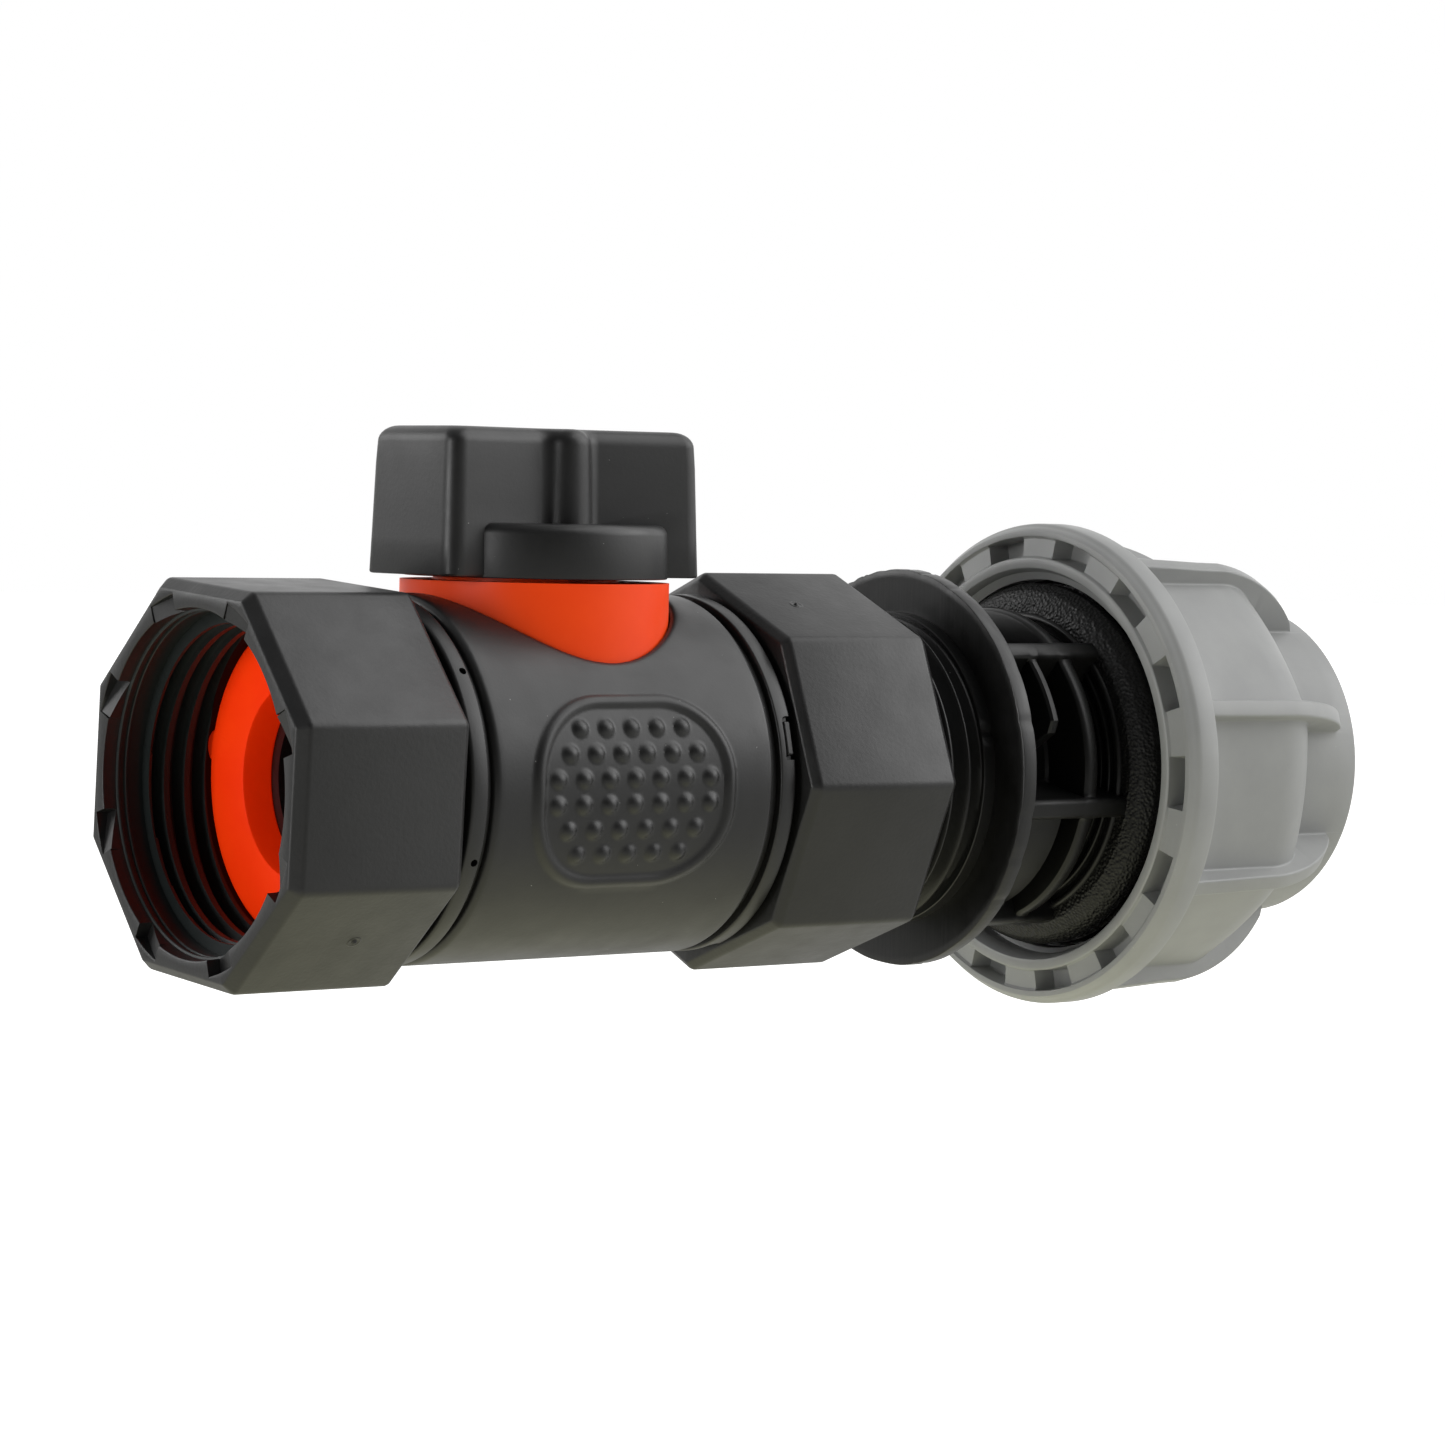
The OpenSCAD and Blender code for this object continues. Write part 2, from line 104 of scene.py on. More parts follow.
def about_stem(height, r, angles):
    """The same about the stem: points at the given height and radius r, for each angle from +X."""
    angle = np.radians(np.asarray(angles, float))
    r = np.broadcast_to(r, angle.shape)
    z = np.broadcast_to(height, angle.shape)
    return np.stack([STEM_X + r * np.cos(angle), r * np.sin(angle), z], axis=1)


def spun(points, turn):
    """Points made at the top of the pipe, moved to a turn about it."""
    a = math.radians(turn)
    p = np.asarray(points, float)
    y = p[:, 1] * math.cos(a) - p[:, 2] * math.sin(a)
    z = p[:, 1] * math.sin(a) + p[:, 2] * math.cos(a)
    return np.stack([p[:, 0], y, z], axis=1)


def new_object(name, points, faces, thin_faces=True):
    """Object from points in millimetres, with doubled points merged and thin faces kept or dissolved."""
    mesh = bpy.data.meshes.new(name)
    mesh.from_pydata([tuple(p) for p in np.asarray(points) * MM], [], faces)
    bm = bmesh.new()
    bm.from_mesh(mesh)
    bmesh.ops.remove_doubles(bm, verts=bm.verts, dist=SAME_POINT)
    if not thin_faces:
        bmesh.ops.dissolve_degenerate(bm, edges=bm.edges, dist=SAME_POINT)
    bmesh.ops.recalc_face_normals(bm, faces=bm.faces)
    bm.to_mesh(mesh)
    bm.free()
    thing = bpy.data.objects.new(name, mesh)
    bpy.context.scene.collection.objects.link(thing)
    return thing


def reshade(piece, sharp=32):
    """Smooth shading with creases where faces meet at more than sharp degrees."""
    piece.data.shade_smooth()
    piece.data.set_sharp_from_angle(angle=math.radians(sharp))


def finish_mesh(name, points, faces, body, slot_name, look=None, sharp=32, nodes=()):
    """Visible piece from points in millimetres, tied to its body, slot and CAD nodes, in its slot's look or another."""
    piece = new_object(name, points, faces, thin_faces=False)
    reshade(piece, sharp)
    piece.data.materials.append(LOOK[look or slot_name])
    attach(piece, body)
    if nodes:
        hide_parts(*nodes)
    return piece


def ring_faces(count, rings, closed=True):
    """Quads between neighbouring rings of count points, and from the last ring to the first where closed."""
    faces = []
    for i in range(rings if closed else rings - 1):
        a = i * count
        b = ((i + 1) % rings) * count
        for j in range(count):
            k = (j + 1) % count
            faces.append((a + j, a + k, b + k, b + j))
    return faces


def ring_piece(name, rings, body, slot_name, closed=True, **options):
    """Piece made of rings of points, each joined to the next."""
    faces = ring_faces(len(rings[0]), len(rings), closed)
    return finish_mesh(name, np.concatenate(rings), faces, body, slot_name, **options)


def rounded(profile):
    """Closed outline of (a, b, fillet radius) corners, with each fillet drawn as an arc."""
    points = []
    count = len(profile)
    for i, (a, b, radius) in enumerate(profile):
        here = Vector((a, b))
        if radius <= 0:
            points.append((a, b))
            continue
        before = (Vector(profile[i - 1][:2]) - here).normalized()
        after = (Vector(profile[(i + 1) % count][:2]) - here).normalized()
        half = before.angle(after) / 2
        back = radius / math.tan(half)
        centre = here + (before + after).normalized() * (radius / math.sin(half))
        start = here + before * back - centre
        sweep = start.angle_signed(here + after * back - centre)
        steps = 3 if radius < 0.4 else 6
        for k in range(steps + 1):
            spin = Matrix.Rotation(-sweep * k / steps, 2)
            p = centre + spin @ start
            points.append((p.x, p.y))
    return points


def lathe(name, profile, body, slot_name, steps, **options):
    """Turned piece about the pipe from (x, r, fillet) corners."""
    turns = np.arange(steps) * 360 / steps
    rings = [polar(x, r, turns) for x, r in rounded(profile)]
    return ring_piece(name, rings, body, slot_name, **options)


def apply_boolean(piece, cutter, operation):
    """Cuts a piece with another mesh, or joins them, and removes the other."""
    tool = piece.modifiers.new("cut", "BOOLEAN")
    tool.object = cutter
    tool.operation = operation
    tool.solver = "EXACT"
    graph = bpy.context.evaluated_depsgraph_get()
    result = bpy.data.meshes.new_from_object(piece.evaluated_get(graph))
    piece.modifiers.clear()
    old = piece.data
    result.name = old.name + "_cut"
    piece.data = result
    bpy.data.meshes.remove(old)
    bpy.data.objects.remove(cutter)


def tool_object(name, points, faces):
    """Bare object in millimetres, for cutting or joining."""
    tool = new_object(name, points, faces)
    bpy.context.view_layer.update()
    return tool


def prism(name, low, high, turn=0.0):
    """Tool between two outlines with the same number of points, moved to a turn about the pipe."""
    count = len(low)
    faces = [tuple(range(count)), tuple(range(2 * count - 1, count - 1, -1))]
    faces += [(i, (i + 1) % count, count + (i + 1) % count, count + i) for i in range(count)]
    return tool_object(name, spun(list(low) + list(high), turn), faces)


# ---- materials

class Nodes:
    """Writes a material's node tree in few lines."""

    def __init__(self, name):
        self.material = bpy.data.materials.new(name)
        self.material.use_nodes = True
        self.tree = self.material.node_tree
        self.shader = self.tree.nodes["Principled BSDF"]
        self.place = self.add("ShaderNodeTexCoord").outputs["Object"]

    def add(self, kind, **values):
        node = self.tree.nodes.new(kind)
        for key, value in values.items():
            if hasattr(node, key):
                setattr(node, key, value)
            else:
                node.inputs[key.replace("_", " ")].default_value = value
        return node

    def link(self, source, target):
        self.tree.links.new(source, target)

    def noise(self, size_mm, detail=3.0, roughness=0.55, stretch=None):
        """Noise whose features are about size_mm across."""
        node = self.add("ShaderNodeTexNoise", Scale=1 / (size_mm * MM), Detail=detail, Roughness=roughness)
        if stretch is None:
            self.link(self.place, node.inputs["Vector"])
        else:
            mapping = self.add("ShaderNodeMapping")
            mapping.inputs["Scale"].default_value = stretch
            self.link(self.place, mapping.inputs["Vector"])
            self.link(mapping.outputs["Vector"], node.inputs["Vector"])
        return node.outputs["Fac"]

    def spread(self, source, low, high, to_low, to_high):
        """The source's span from low to high, spread over to_low to to_high."""
        node = self.add("ShaderNodeMapRange")
        for key, value in (("From Min", low), ("From Max", high), ("To Min", to_low), ("To Max", to_high)):
            node.inputs[key].default_value = value
        self.link(source, node.inputs["Value"])
        return node.outputs["Result"]

    def mix(self, factor, first, second):
        """Colour between two colours, each a tuple or a socket."""
        node = self.add("ShaderNodeMix", data_type="RGBA")
        self.link(factor, node.inputs["Factor"])
        for socket, value in ((node.inputs[6], first), (node.inputs[7], second)):
            if isinstance(value, tuple):
                socket.default_value = (*value, 1)
            else:
                self.link(value, socket)
        return node.outputs[2]

    def bump(self, height, depth_mm, before=None):
        """Bump of the given depth, laid over an earlier one."""
        node = self.add("ShaderNodeBump")
        node.inputs["Strength"].default_value = 1
        node.inputs["Distance"].default_value = depth_mm * MM
        self.link(height, node.inputs["Height"])
        if before is not None:
            self.link(before, node.inputs["Normal"])
        return node.outputs["Normal"]


DUST_COLOUR = (0.4, 0.4, 0.39)
SINK_DEPTH = 0.024


def moulded(name, colour, worn, roughness, grain_mm, grain_depth, specular, dust):
    """Moulded plastic with grain, faint sink marks, uneven gloss, colour drift and a little dust."""
    n = Nodes(name)
    drift = n.spread(n.noise(6, 4), 0.35, 0.7, 0, 1)
    colour_out = n.mix(drift, colour, worn)
    if dust:
        speck = n.spread(n.noise(0.34, 2, 0.4), 0.8 - 0.01 * dust, 0.81, 0, 0.7)
        colour_out = n.mix(speck, colour_out, DUST_COLOUR)
    n.link(colour_out, n.shader.inputs["Base Color"])
    patches = n.noise(3.5, 5, 0.6)
    n.link(n.spread(patches, 0.3, 0.7, roughness - 0.045, roughness + 0.05), n.shader.inputs["Roughness"])
    normal = n.bump(n.noise(9, 2), SINK_DEPTH)
    normal = n.bump(n.noise(grain_mm, 2, 0.5), grain_depth, normal)
    n.link(normal, n.shader.inputs["Normal"])
    n.shader.inputs["Specular IOR Level"].default_value = specular
    return n.material


BLACK = (0.0062, 0.0062, 0.0064)
BLACK_WORN = (0.0095, 0.0095, 0.0097)

# Slot: colour, worn colour, roughness, grain's size and depth in millimetres, specular level and dust
MOULDED = {
    "nut_black": (BLACK, BLACK_WORN, 0.42, 0.36, 0.015, 0.5, 0),
    "black_plastic": (BLACK, BLACK_WORN, 0.40, 0.24, 0.006, 0.5, 0.8),
    "handle_black": (BLACK, BLACK_WORN, 0.41, 0.3, 0.007, 0.5, 0.8),
    "adapter_black": ((0.004, 0.004, 0.004), (0.007, 0.007, 0.0071), 0.35, 0.25, 0.004, 0.3, 0),
    # Lighter, blue-green-tinted black for the faces inside the nuts' threads: painted light that lifts them and offsets
    # the washer's red bounce.
    "thread_black_painted_light": ((0.0075, 0.0105, 0.0105), (0.01, 0.014, 0.014), 0.46, 0.3, 0.003, 0.4, 0),
    "core_orange": ((0.96, 0.06, 0.003), (1.0, 0.072, 0.004), 0.42, 0.3, 0.002, 0.2, 0),
    "washer_orange": ((0.95, 0.035, 0.0008), (1.0, 0.048, 0.0008), 0.6, 0.16, 0.004, 0.1, 0),
    "nut_grey": ((0.272, 0.277, 0.274), (0.305, 0.31, 0.305), 0.42, 0.3, 0.003, 0.5, 0.2),
    "seal_rubber": ((0.012, 0.012, 0.012), (0.02, 0.02, 0.02), 0.6, 0.12, 0.004, 0.5, 0),
    "seat_white": ((0.72, 0.72, 0.7), (0.78, 0.78, 0.76), 0.4, 0.3, 0.002, 0.5, 0),
    "ball_white": ((0.7, 0.69, 0.65), (0.76, 0.75, 0.72), 0.25, 0.3, 0.001, 0.5, 0),
}


def make_materials():
    """The looks by slot, with those of the leather texture and of the flange, and a faint painted glow on the washer's
    orange.
    """
    looks = {slot_name: moulded(slot_name, *values) for slot_name, values in MOULDED.items()}
    # The washer's orange emits a faint red glow though it is no lamp: painted light that brightens it past what the
    # lamps give.
    glow = looks["washer_orange"].node_tree.nodes["Principled BSDF"]
    glow.inputs["Emission Color"].default_value = (1, 0.03, 0, 1)
    glow.inputs["Emission Strength"].default_value = 0.2
    looks["leather_black"] = leather_grain()
    looks["machined_black"] = tooled_black()
    return looks


def leather_grain():
    """Black plastic with a coarse leather texture, as on the adapter's shoulder."""
    n = Nodes("leather_black")
    n.link(n.mix(n.noise(3, 4), (0.003, 0.003, 0.003), (0.006, 0.006, 0.006)), n.shader.inputs["Base Color"])
    n.shader.inputs["Specular IOR Level"].default_value = 0.3
    cells = n.add("ShaderNodeTexVoronoi", feature="SMOOTH_F1", Scale=1 / (0.27 * MM), Smoothness=0.5)
    n.link(n.place, cells.inputs["Vector"])
    normal = n.bump(n.noise(0.9, 3, 0.6), 0.02)
    normal = n.bump(cells.outputs["Distance"], 0.1, normal)
    n.link(normal, n.shader.inputs["Normal"])
    n.link(n.spread(n.noise(1.2, 4), 0.3, 0.7, 0.38, 0.52), n.shader.inputs["Roughness"])
    return n.material


def tooled_black():
    """Black plastic moulded against a ground tool, which left fine straight lines across the flange."""
    n = Nodes("machined_black")
    n.link(n.mix(n.noise(3, 4), (0.004, 0.004, 0.004), (0.007, 0.007, 0.007)), n.shader.inputs["Base Color"])
    lines = n.noise(0.28, 3, 0.5, stretch=(1, 1.0, 0.06))
    turned = n.add("ShaderNodeMapping")
    turned.inputs["Rotation"].default_value = (math.radians(-48), 0, 0)
    turned.inputs["Scale"].default_value = (1, 1, 0.05)
    n.link(n.place, turned.inputs["Vector"])
    strokes = n.add("ShaderNodeTexNoise", Scale=1 / (0.3 * MM), Detail=3.0)
    n.link(turned.outputs["Vector"], strokes.inputs["Vector"])
    normal = n.bump(strokes.outputs["Fac"], 0.012)
    normal = n.bump(lines, 0.004, normal)
    n.link(normal, n.shader.inputs["Normal"])
    n.link(n.spread(n.noise(1.5, 4), 0.3, 0.7, 0.3, 0.4), n.shader.inputs["Roughness"])
    n.shader.inputs["Specular IOR Level"].default_value = 0.4
    return n.material


LOOK = make_materials()


# ---- swivel nuts

APOTHEM = 15.0
CORNER_R = 1.0
POCKET_TURN = 6.9
SHOULDER_DEPTH = 3.45
MALE_CREST = 13.05
MALE_ROOT = 11.9
POCKET_R = 14.45
LIP_R = 13.2
INNER_R = 13.25
TAIL_HOLE_R = 9.9
RELIEF_R = 13.3
RELIEF_LENGTH = 6.5
BACK_WALL = 1.85

# Depth and inset of the rings round a nut's mouth, and round its back towards the barrel
MOUTH_EDGE = ((1.1, 0), (0.95, 0.02), (0.83, 0.07), (0.72, 0.15), (0.22, 0.62), (0.12, 0.7), (0.04, 0.78), (0, 0.88))
BACK_EDGE = ((0, 0.75), (0.03, 0.62), (0.12, 0.52), (0.44, 0.2), (0.58, 0.08), (0.8, 0))

# Depth and radius of the two fine ridges inside a nut's mouth
MOUTH_RIDGES = ((1.12, 13.13), (1.16, 12.97), (1.22, 12.93), (1.34, 12.93), (1.4, 12.97), (1.44, 13.1), (1.8, 13.1),
                (1.84, 12.97), (1.9, 12.93), (2.02, 12.93), (2.08, 12.97), (2.12, 13.1))


def octagon(turns, inset=0.0, corner=CORNER_R):
    """Radius of an octagon with round corners at 0, 45, 90... degrees, drawn in by inset."""
    flat = APOTHEM - inset
    corner = max(corner - inset, 0.05)
    off = np.abs((np.asarray(turns) + 22.5) % 45 - 22.5)
    side = flat / np.cos(np.radians(22.5 - off))
    centre = (flat - corner) / math.cos(math.radians(22.5))
    angle = np.radians(off)
    reach = np.maximum(corner ** 2 - (centre * np.sin(angle)) ** 2, 0)
    arc = centre * np.cos(angle) + np.sqrt(reach)
    touching = math.atan((flat - corner) * math.tan(math.radians(22.5)) / flat)
    return np.where(off < 22.5 - math.degrees(touching), arc, side)


def nut_turns():
    """Turns that meet every corner and pocket edge of the nut, with close pairs at the pocket walls."""
    steps = [0.45, 0.9, 1.4, 3.4, 5.2, 6.4, POCKET_TURN - 0.22, POCKET_TURN + 0.22, 7.7,
             9.5, 12, 14.5, 17, 19.7]
    sector = sorted([0.0] + steps + [-s for s in steps])
    turns = []
    for k in range(8):
        turns += [45 * k + t for t in sector] + [45 * k + 22.5]
    return np.array(turns)


def flank(t):
    """Rise from 0 to 1, nearly straight with soft corners."""
    t = np.clip(t, 0, 1)
    return 0.6 * t + 0.4 * t * t * (3 - 2 * t)


def female_thread(phase):
    """Radius of the nuts' pipe thread at a phase of its pitch, with a crest at 0 and a steeper first flank."""
    off = (np.asarray(phase) + 0.5) % 1 - 0.5
    first = 0.3 * np.clip((-off - 0.17) / 0.03, 0, 1) + 0.7 * np.clip((-off - 0.2) / 0.22, 0, 1)
    return THREAD_CREST + (THREAD_ROOT - THREAD_CREST) * np.where(off < 0, first, flank((off - 0.1) / 0.33))


def male_thread(phase):
    """Radius of the adapter's pipe thread, which fills the nut's grooves with a little room."""
    off = np.abs(np.asarray(phase) % 1 - 0.5)
    return MALE_CREST - (MALE_CREST - MALE_ROOT) * flank((off - 0.03) / 0.38)


def coarse_thread(phase):
    """Radius of the compression nut's square-cut thread, with a crest at 0."""
    off = np.abs((np.asarray(phase) + 0.5) % 1 - 0.5)
    return COARSE_CREST + COARSE_DEPTH * np.clip((off - 0.16) / 0.08, 0, 1)


THREAD_MARKS = [0, 0.05, 0.1, 0.16, 0.24, 0.33, 0.38, 0.43, 0.47, 0.5, 0.53, 0.58, 0.62, 0.7, 0.76, 0.8, 0.83, 0.91]


def thread_rings(turns, radius, pitch, crest_x, start, end, shape=None):
    """Rings of a right-hand thread between two stations.

    Each ring follows the helix, so crests stay crisp; points past either end gather there.
    """
    lead = crest_x + pitch * (turns / 360)
    first = math.floor((start - crest_x - pitch * turns.max() / 360) / pitch) - 1
    last = math.ceil((end - crest_x - pitch * turns.min() / 360) / pitch) + 1
    rings = []
    for n in range(first, last + 1):
        for mark in THREAD_MARKS:
            x = np.clip(lead + pitch * (n + mark), start, end)
            r = radius((x - lead) / pitch)
            if shape is not None:
                r = shape(x, r)
            rings.append(polar(x, r, turns))
    return rings


def helix_piece(name, rings, helix, turns, body, slot_name, **options):
    """Closed piece of rings, some of which follow a thread and so meet the next pitch after a full turn.

    helix is (first, last, shift): the rings of the thread, and how many rings one pitch is.
    """
    first, last, shift = helix
    count = len(turns)
    total = len(rings)

    def partner(i):
        return min(max(i + shift, first), last) if first <= i <= last else i

    faces = []
    for i in range(total):
        n = (i + 1) % total
        for j in range(count - 1):
            faces.append((i * count + j, i * count + j + 1, n * count + j + 1, n * count + j))
        faces.append((i * count + count - 1, partner(i) * count, partner(n) * count, n * count + count - 1))
    return finish_mesh(name, np.concatenate(rings), faces, body, slot_name, **options)


def swivel_nut(name, node, body, mouth, inward, turn, crest_x):
    """Octagonal nut: mouth is its open end's station, inward is +1 or -1 along the pipe."""
    local = nut_turns()
    turns = local + turn

    def at(depth):
        return mouth + inward * np.asarray(depth)

    def ring(depth, r):
        return polar(at(depth), r, turns)

    across = (local + 22.5) % 45 - 22.5
    pocket = np.abs(across) < POCKET_TURN
    ramp = 0.08 + 1.0 * (across + POCKET_TURN) / (2 * POCKET_TURN)
    opening = np.where(pocket, POCKET_R, LIP_R)
    floor = np.where(pocket, ramp, 0.5)
    rings = [ring(NUT_LENGTH, TAIL_HOLE_R)]
    for depth, inset in BACK_EDGE:
        rings.append(ring(NUT_LENGTH - depth, octagon(local, inset)))
    for depth, inset in MOUTH_EDGE:
        rings.append(ring(depth, octagon(local, inset)))
    lip = ((0, opening + 0.1), (0.03, opening + 0.03), (0.07, opening), (floor, opening - 0.02),
           (np.where(pocket, floor + 0.02, 0.8), 13.15))
    rings += [ring(depth, r) for depth, r in lip + MOUTH_RIDGES]
    thread_end = NUT_LENGTH - RELIEF_LENGTH
    if inward > 0:
        start, end = at(SHOULDER_DEPTH), at(thread_end)
        rings.append(ring(SHOULDER_DEPTH, 13.1))
    else:
        start, end = at(thread_end), at(2.4)

    def entry(x, r):
        """Flat shoulder where the inlet's thread begins."""
        depth = (x - mouth) * inward
        return np.where((inward > 0) & (depth < SHOULDER_DEPTH + 0.3), np.minimum(r, 12.12), r)

    thread = thread_rings(turns, female_thread, THREAD_PITCH, crest_x, start, end, entry)
    first = len(rings)
    rings += thread if inward > 0 else thread[::-1]
    helix = (first, len(rings) - 1, inward * len(THREAD_MARKS))
    rings += [ring(thread_end, RELIEF_R), ring(NUT_LENGTH - BACK_WALL, RELIEF_R),
              ring(NUT_LENGTH - BACK_WALL, TAIL_HOLE_R)]
    piece = helix_piece(name, rings, helix, turns, body, "nut_black", nodes=[node])
    # Faces inside the thread get a lighter black, tinted against the washer's red bounce: painted light.
    piece.data.materials.append(LOOK["thread_black_painted_light"])
    for face in piece.data.polygons:
        place = piece.matrix_world @ face.center
        depth = (place.x / MM - mouth) * inward
        face.material_index = int(math.hypot(place.y, place.z) < INNER_R * MM and 0.9 < depth < thread_end)


# ---- valve body

PAD_X = STEM_X - 0.2
PAD_S = -0.42
PAD_HALF_X = 9.0
PAD_HALF_S = 7.2
PAD_CORNER = 6.3
PAD_ROWS = (5, 6, 7, 7, 6, 5)
BUMP_PITCH_X = 2.4
BUMP_PITCH_S = 1.97
BUMP_R = 0.8
BUMP_HEIGHT = 0.36
BEAD_HALF_WIDTH = 0.62
BEAD_HEIGHT = 0.3
SADDLE_R = 10.72
SADDLE_LIP = 0.5
SLEEVE_BORE_R = 12.93
STEP_R = 13.62
STEP_TOP_R = 13.76
COLLAR_BORE_R = 9.66
PIN_R = 0.3
LATCH_CORNER = 0.45
NUBS = (40, 160, 280)
NUB_REACH = 5.4
NUB_HEIGHT = 0.75


def pad_height(x, s):
    """Height of the raised bead and of the bumps, at x along the pipe and s round it."""
    dx = np.abs(x - PAD_X) - (PAD_HALF_X - PAD_CORNER)
    ds = np.abs(s - PAD_S) - (PAD_HALF_S - PAD_CORNER)
    away = np.hypot(np.maximum(dx, 0), np.maximum(ds, 0)) + np.minimum(np.maximum(dx, ds), 0) - PAD_CORNER
    bead = BEAD_HEIGHT * np.clip(1 - (away / BEAD_HALF_WIDTH) ** 2, 0, 1) ** 1.2
    bumps = np.zeros_like(x)
    for row, number in enumerate(PAD_ROWS):
        row_s = PAD_S + 0.14 + (2.5 - row) * BUMP_PITCH_S
        for i in range(number):
            bump_x = PAD_X - 0.05 + (i - (number - 1) / 2) * BUMP_PITCH_X
            near = ((x - bump_x) ** 2 + (s - row_s) ** 2) / BUMP_R ** 2
            bumps = np.maximum(bumps, BUMP_HEIGHT * np.clip(1 - near, 0, 1) ** 1.15)
    return bead + bumps


def spaced(spans):
    """Values over neighbouring (start, end, step) spans."""
    values = []
    for start, end, step in spans:
        count = max(1, round((end - start) / step))
        values += [start + (end - start) * i / count for i in range(count)]
    return values


def barrel_sleeve():
    """Black sleeve with its two thumb pads, cut away round the stem boss."""
    left = low_mm("valve_core")[0]
    right = 2 * STEM_X - left
    body_left = low_mm("barrel_sleeve")[0]
    body_right = 2 * STEM_X - body_left
    turns = np.array(spaced([(-54, 54, 0.8), (54, 57, 1), (57, 123, 0.62), (123, 237, 2.4), (237, 303, 0.62),
                             (303, 306, 1)]))
    fillet = 0.6
    edge = [(body_left + fillet * (1 - math.cos(a)), BARREL_R - fillet * (1 - math.sin(a)))
            for a in np.radians([0, 15, 30, 45, 60, 75, 90])]
    outline = [(left + 0.03, STEP_R), (left + 0.03, STEP_TOP_R), (body_left, STEP_TOP_R)] + edge
    outline += [(x, BARREL_R) for x in spaced([(body_left + 1.0, STEM_X - 11.6, 0.6),
                                               (STEM_X - 11.6, STEM_X + 11.6, 0.17),
                                               (STEM_X + 11.6, body_right - 0.9, 0.6)])]
    outline += [(2 * STEM_X - x, r) for x, r in edge[::-1]]
    outline += [(body_right, STEP_TOP_R), (right - 0.03, STEP_TOP_R), (right - 0.03, STEP_R),
                (body_right - 0.02, STEP_R), (body_right - 0.02, SLEEVE_BORE_R), (body_left + 0.02, SLEEVE_BORE_R),
                (body_left + 0.02, STEP_R)]
    rings = []
    for x, r in outline:
        radius = np.full_like(turns, r)
        if r == BARREL_R:
            angle = np.radians(turns)
            side = np.where(np.sin(angle) > 0, angle - math.pi / 2, 1.5 * math.pi - angle)
            radius = radius + pad_height(np.full_like(turns, x), -side * BARREL_R)
            away = np.hypot(x - STEM_X, r * np.sin(angle)) - SADDLE_R
            short = np.clip(SADDLE_LIP - away, 0, SADDLE_LIP)
            drop = SADDLE_LIP - np.sqrt(np.maximum(SADDLE_LIP ** 2 - short ** 2, 0))
            radius = radius - np.where(np.cos(angle) > 0, drop, 0)
        rings.append(polar(x, radius, turns))
    sleeve = ring_piece("barrel_sleeve_moulding", rings, "valve_body", "black_plastic", nodes=["barrel_sleeve"])
    around = np.arange(180) * 2
    levels = [about_stem(z, r, around) for z, r in ((5, 0.01), (5, SADDLE_R), (20, SADDLE_R), (20, 0.01))]
    cutter = tool_object("saddle_cut", np.concatenate(levels), ring_faces(180, 4))
    apply_boolean(sleeve, cutter, "DIFFERENCE")
    reshade(sleeve)


def placer(mirror_x):
    """Station of a detail at the inlet, or of its mirror image at the outlet."""
    return (lambda x: 2 * STEM_X - x) if mirror_x else (lambda x: x)


def collar_ring(name, node, mirror_x, holes):
    """Black end collar with soft edges, cut by holes."""
    outer = low_mm("inlet_collar")[0]
    inner = low_mm("valve_core")[0] - 0.02
    place = placer(mirror_x)
    profile = [(place(outer), COLLAR_BORE_R, 0), (place(outer), BARREL_R, 0.28), (place(inner), BARREL_R, 0.16),
               (place(inner), COLLAR_BORE_R, 0)]
    collar = lathe(name, profile, "valve_body", "black_plastic", steps=240, nodes=[node])
    for cutter in holes:
        apply_boolean(collar, cutter, "DIFFERENCE")
    reshade(collar)


def raised(outline, height):
    """Outline of (x, y) points at a height over the pipe's axis."""
    return [(x, y, height) for x, y in outline]


def pin_hole(x, turn):
    """Cutter for a small radial hole in the barrel's surface."""
    outline = [(x + PIN_R * math.cos(a), PIN_R * math.sin(a)) for a in np.arange(20) * 2 * math.pi / 20]
    return prism("pin_cut", raised(outline, BARREL_R - 0.7), raised(outline, BARREL_R + 1), turn)


def latch_window(x0, x1, turn, half_width):
    """Cutter for a latch window with a round corner, open to the nut."""
    corner = LATCH_CORNER
    outline = [(x1, -half_width), (x1, half_width), (x0 + corner, half_width)]
    outline += [(x0 + corner - corner * math.sin(a), half_width - corner + corner * math.cos(a))
                for a in np.radians([15, 30, 45, 60, 75, 90])]
    outline += [(x0, -half_width)]
    return prism("latch_cut", raised(outline, BARREL_R - 0.75), raised(outline, BARREL_R + 1), turn)


def latch_tongue(name, x0, x1, turn):
    """Small moulded block with soft edges inside a latch window."""
    points = [(x, y, z) for x in (x0, x1) for y in (-1.35, 1.35) for z in (BARREL_R - 0.8, BARREL_R - 0.16)]
    faces = [(0, 1, 3, 2), (4, 6, 7, 5), (0, 4, 5, 1), (2, 3, 7, 6), (0, 2, 6, 4), (1, 5, 7, 3)]
    piece = finish_mesh(name, spun(points, turn), faces, "valve_body", "black_plastic")
    edges = piece.modifiers.new("soft_edges", "BEVEL")
    edges.width = 0.15 * MM
    edges.segments = 3


def collars():
    """Inlet collar with six pin holes, and outlet collar with four latches."""
    pin_x = low_mm("inlet_collar")[0] + 1.0
    collar_ring("inlet_collar_moulding", "inlet_collar", False, [pin_hole(pin_x, 52 + 60 * k) for k in range(6)])
    outer = high_mm("outlet_collar")[0]
    latches = [75.6 + 90 * k for k in range(4)]
    windows = [latch_window(outer - 0.95, outer + 1, turn, 1.75) for turn in latches]
    collar_ring("outlet_collar_moulding", "outlet_collar", True, windows)
    for k, turn in enumerate(latches):
        latch_tongue(f"latch_tongue_{k}", outer - 0.72, outer - 0.08, turn)


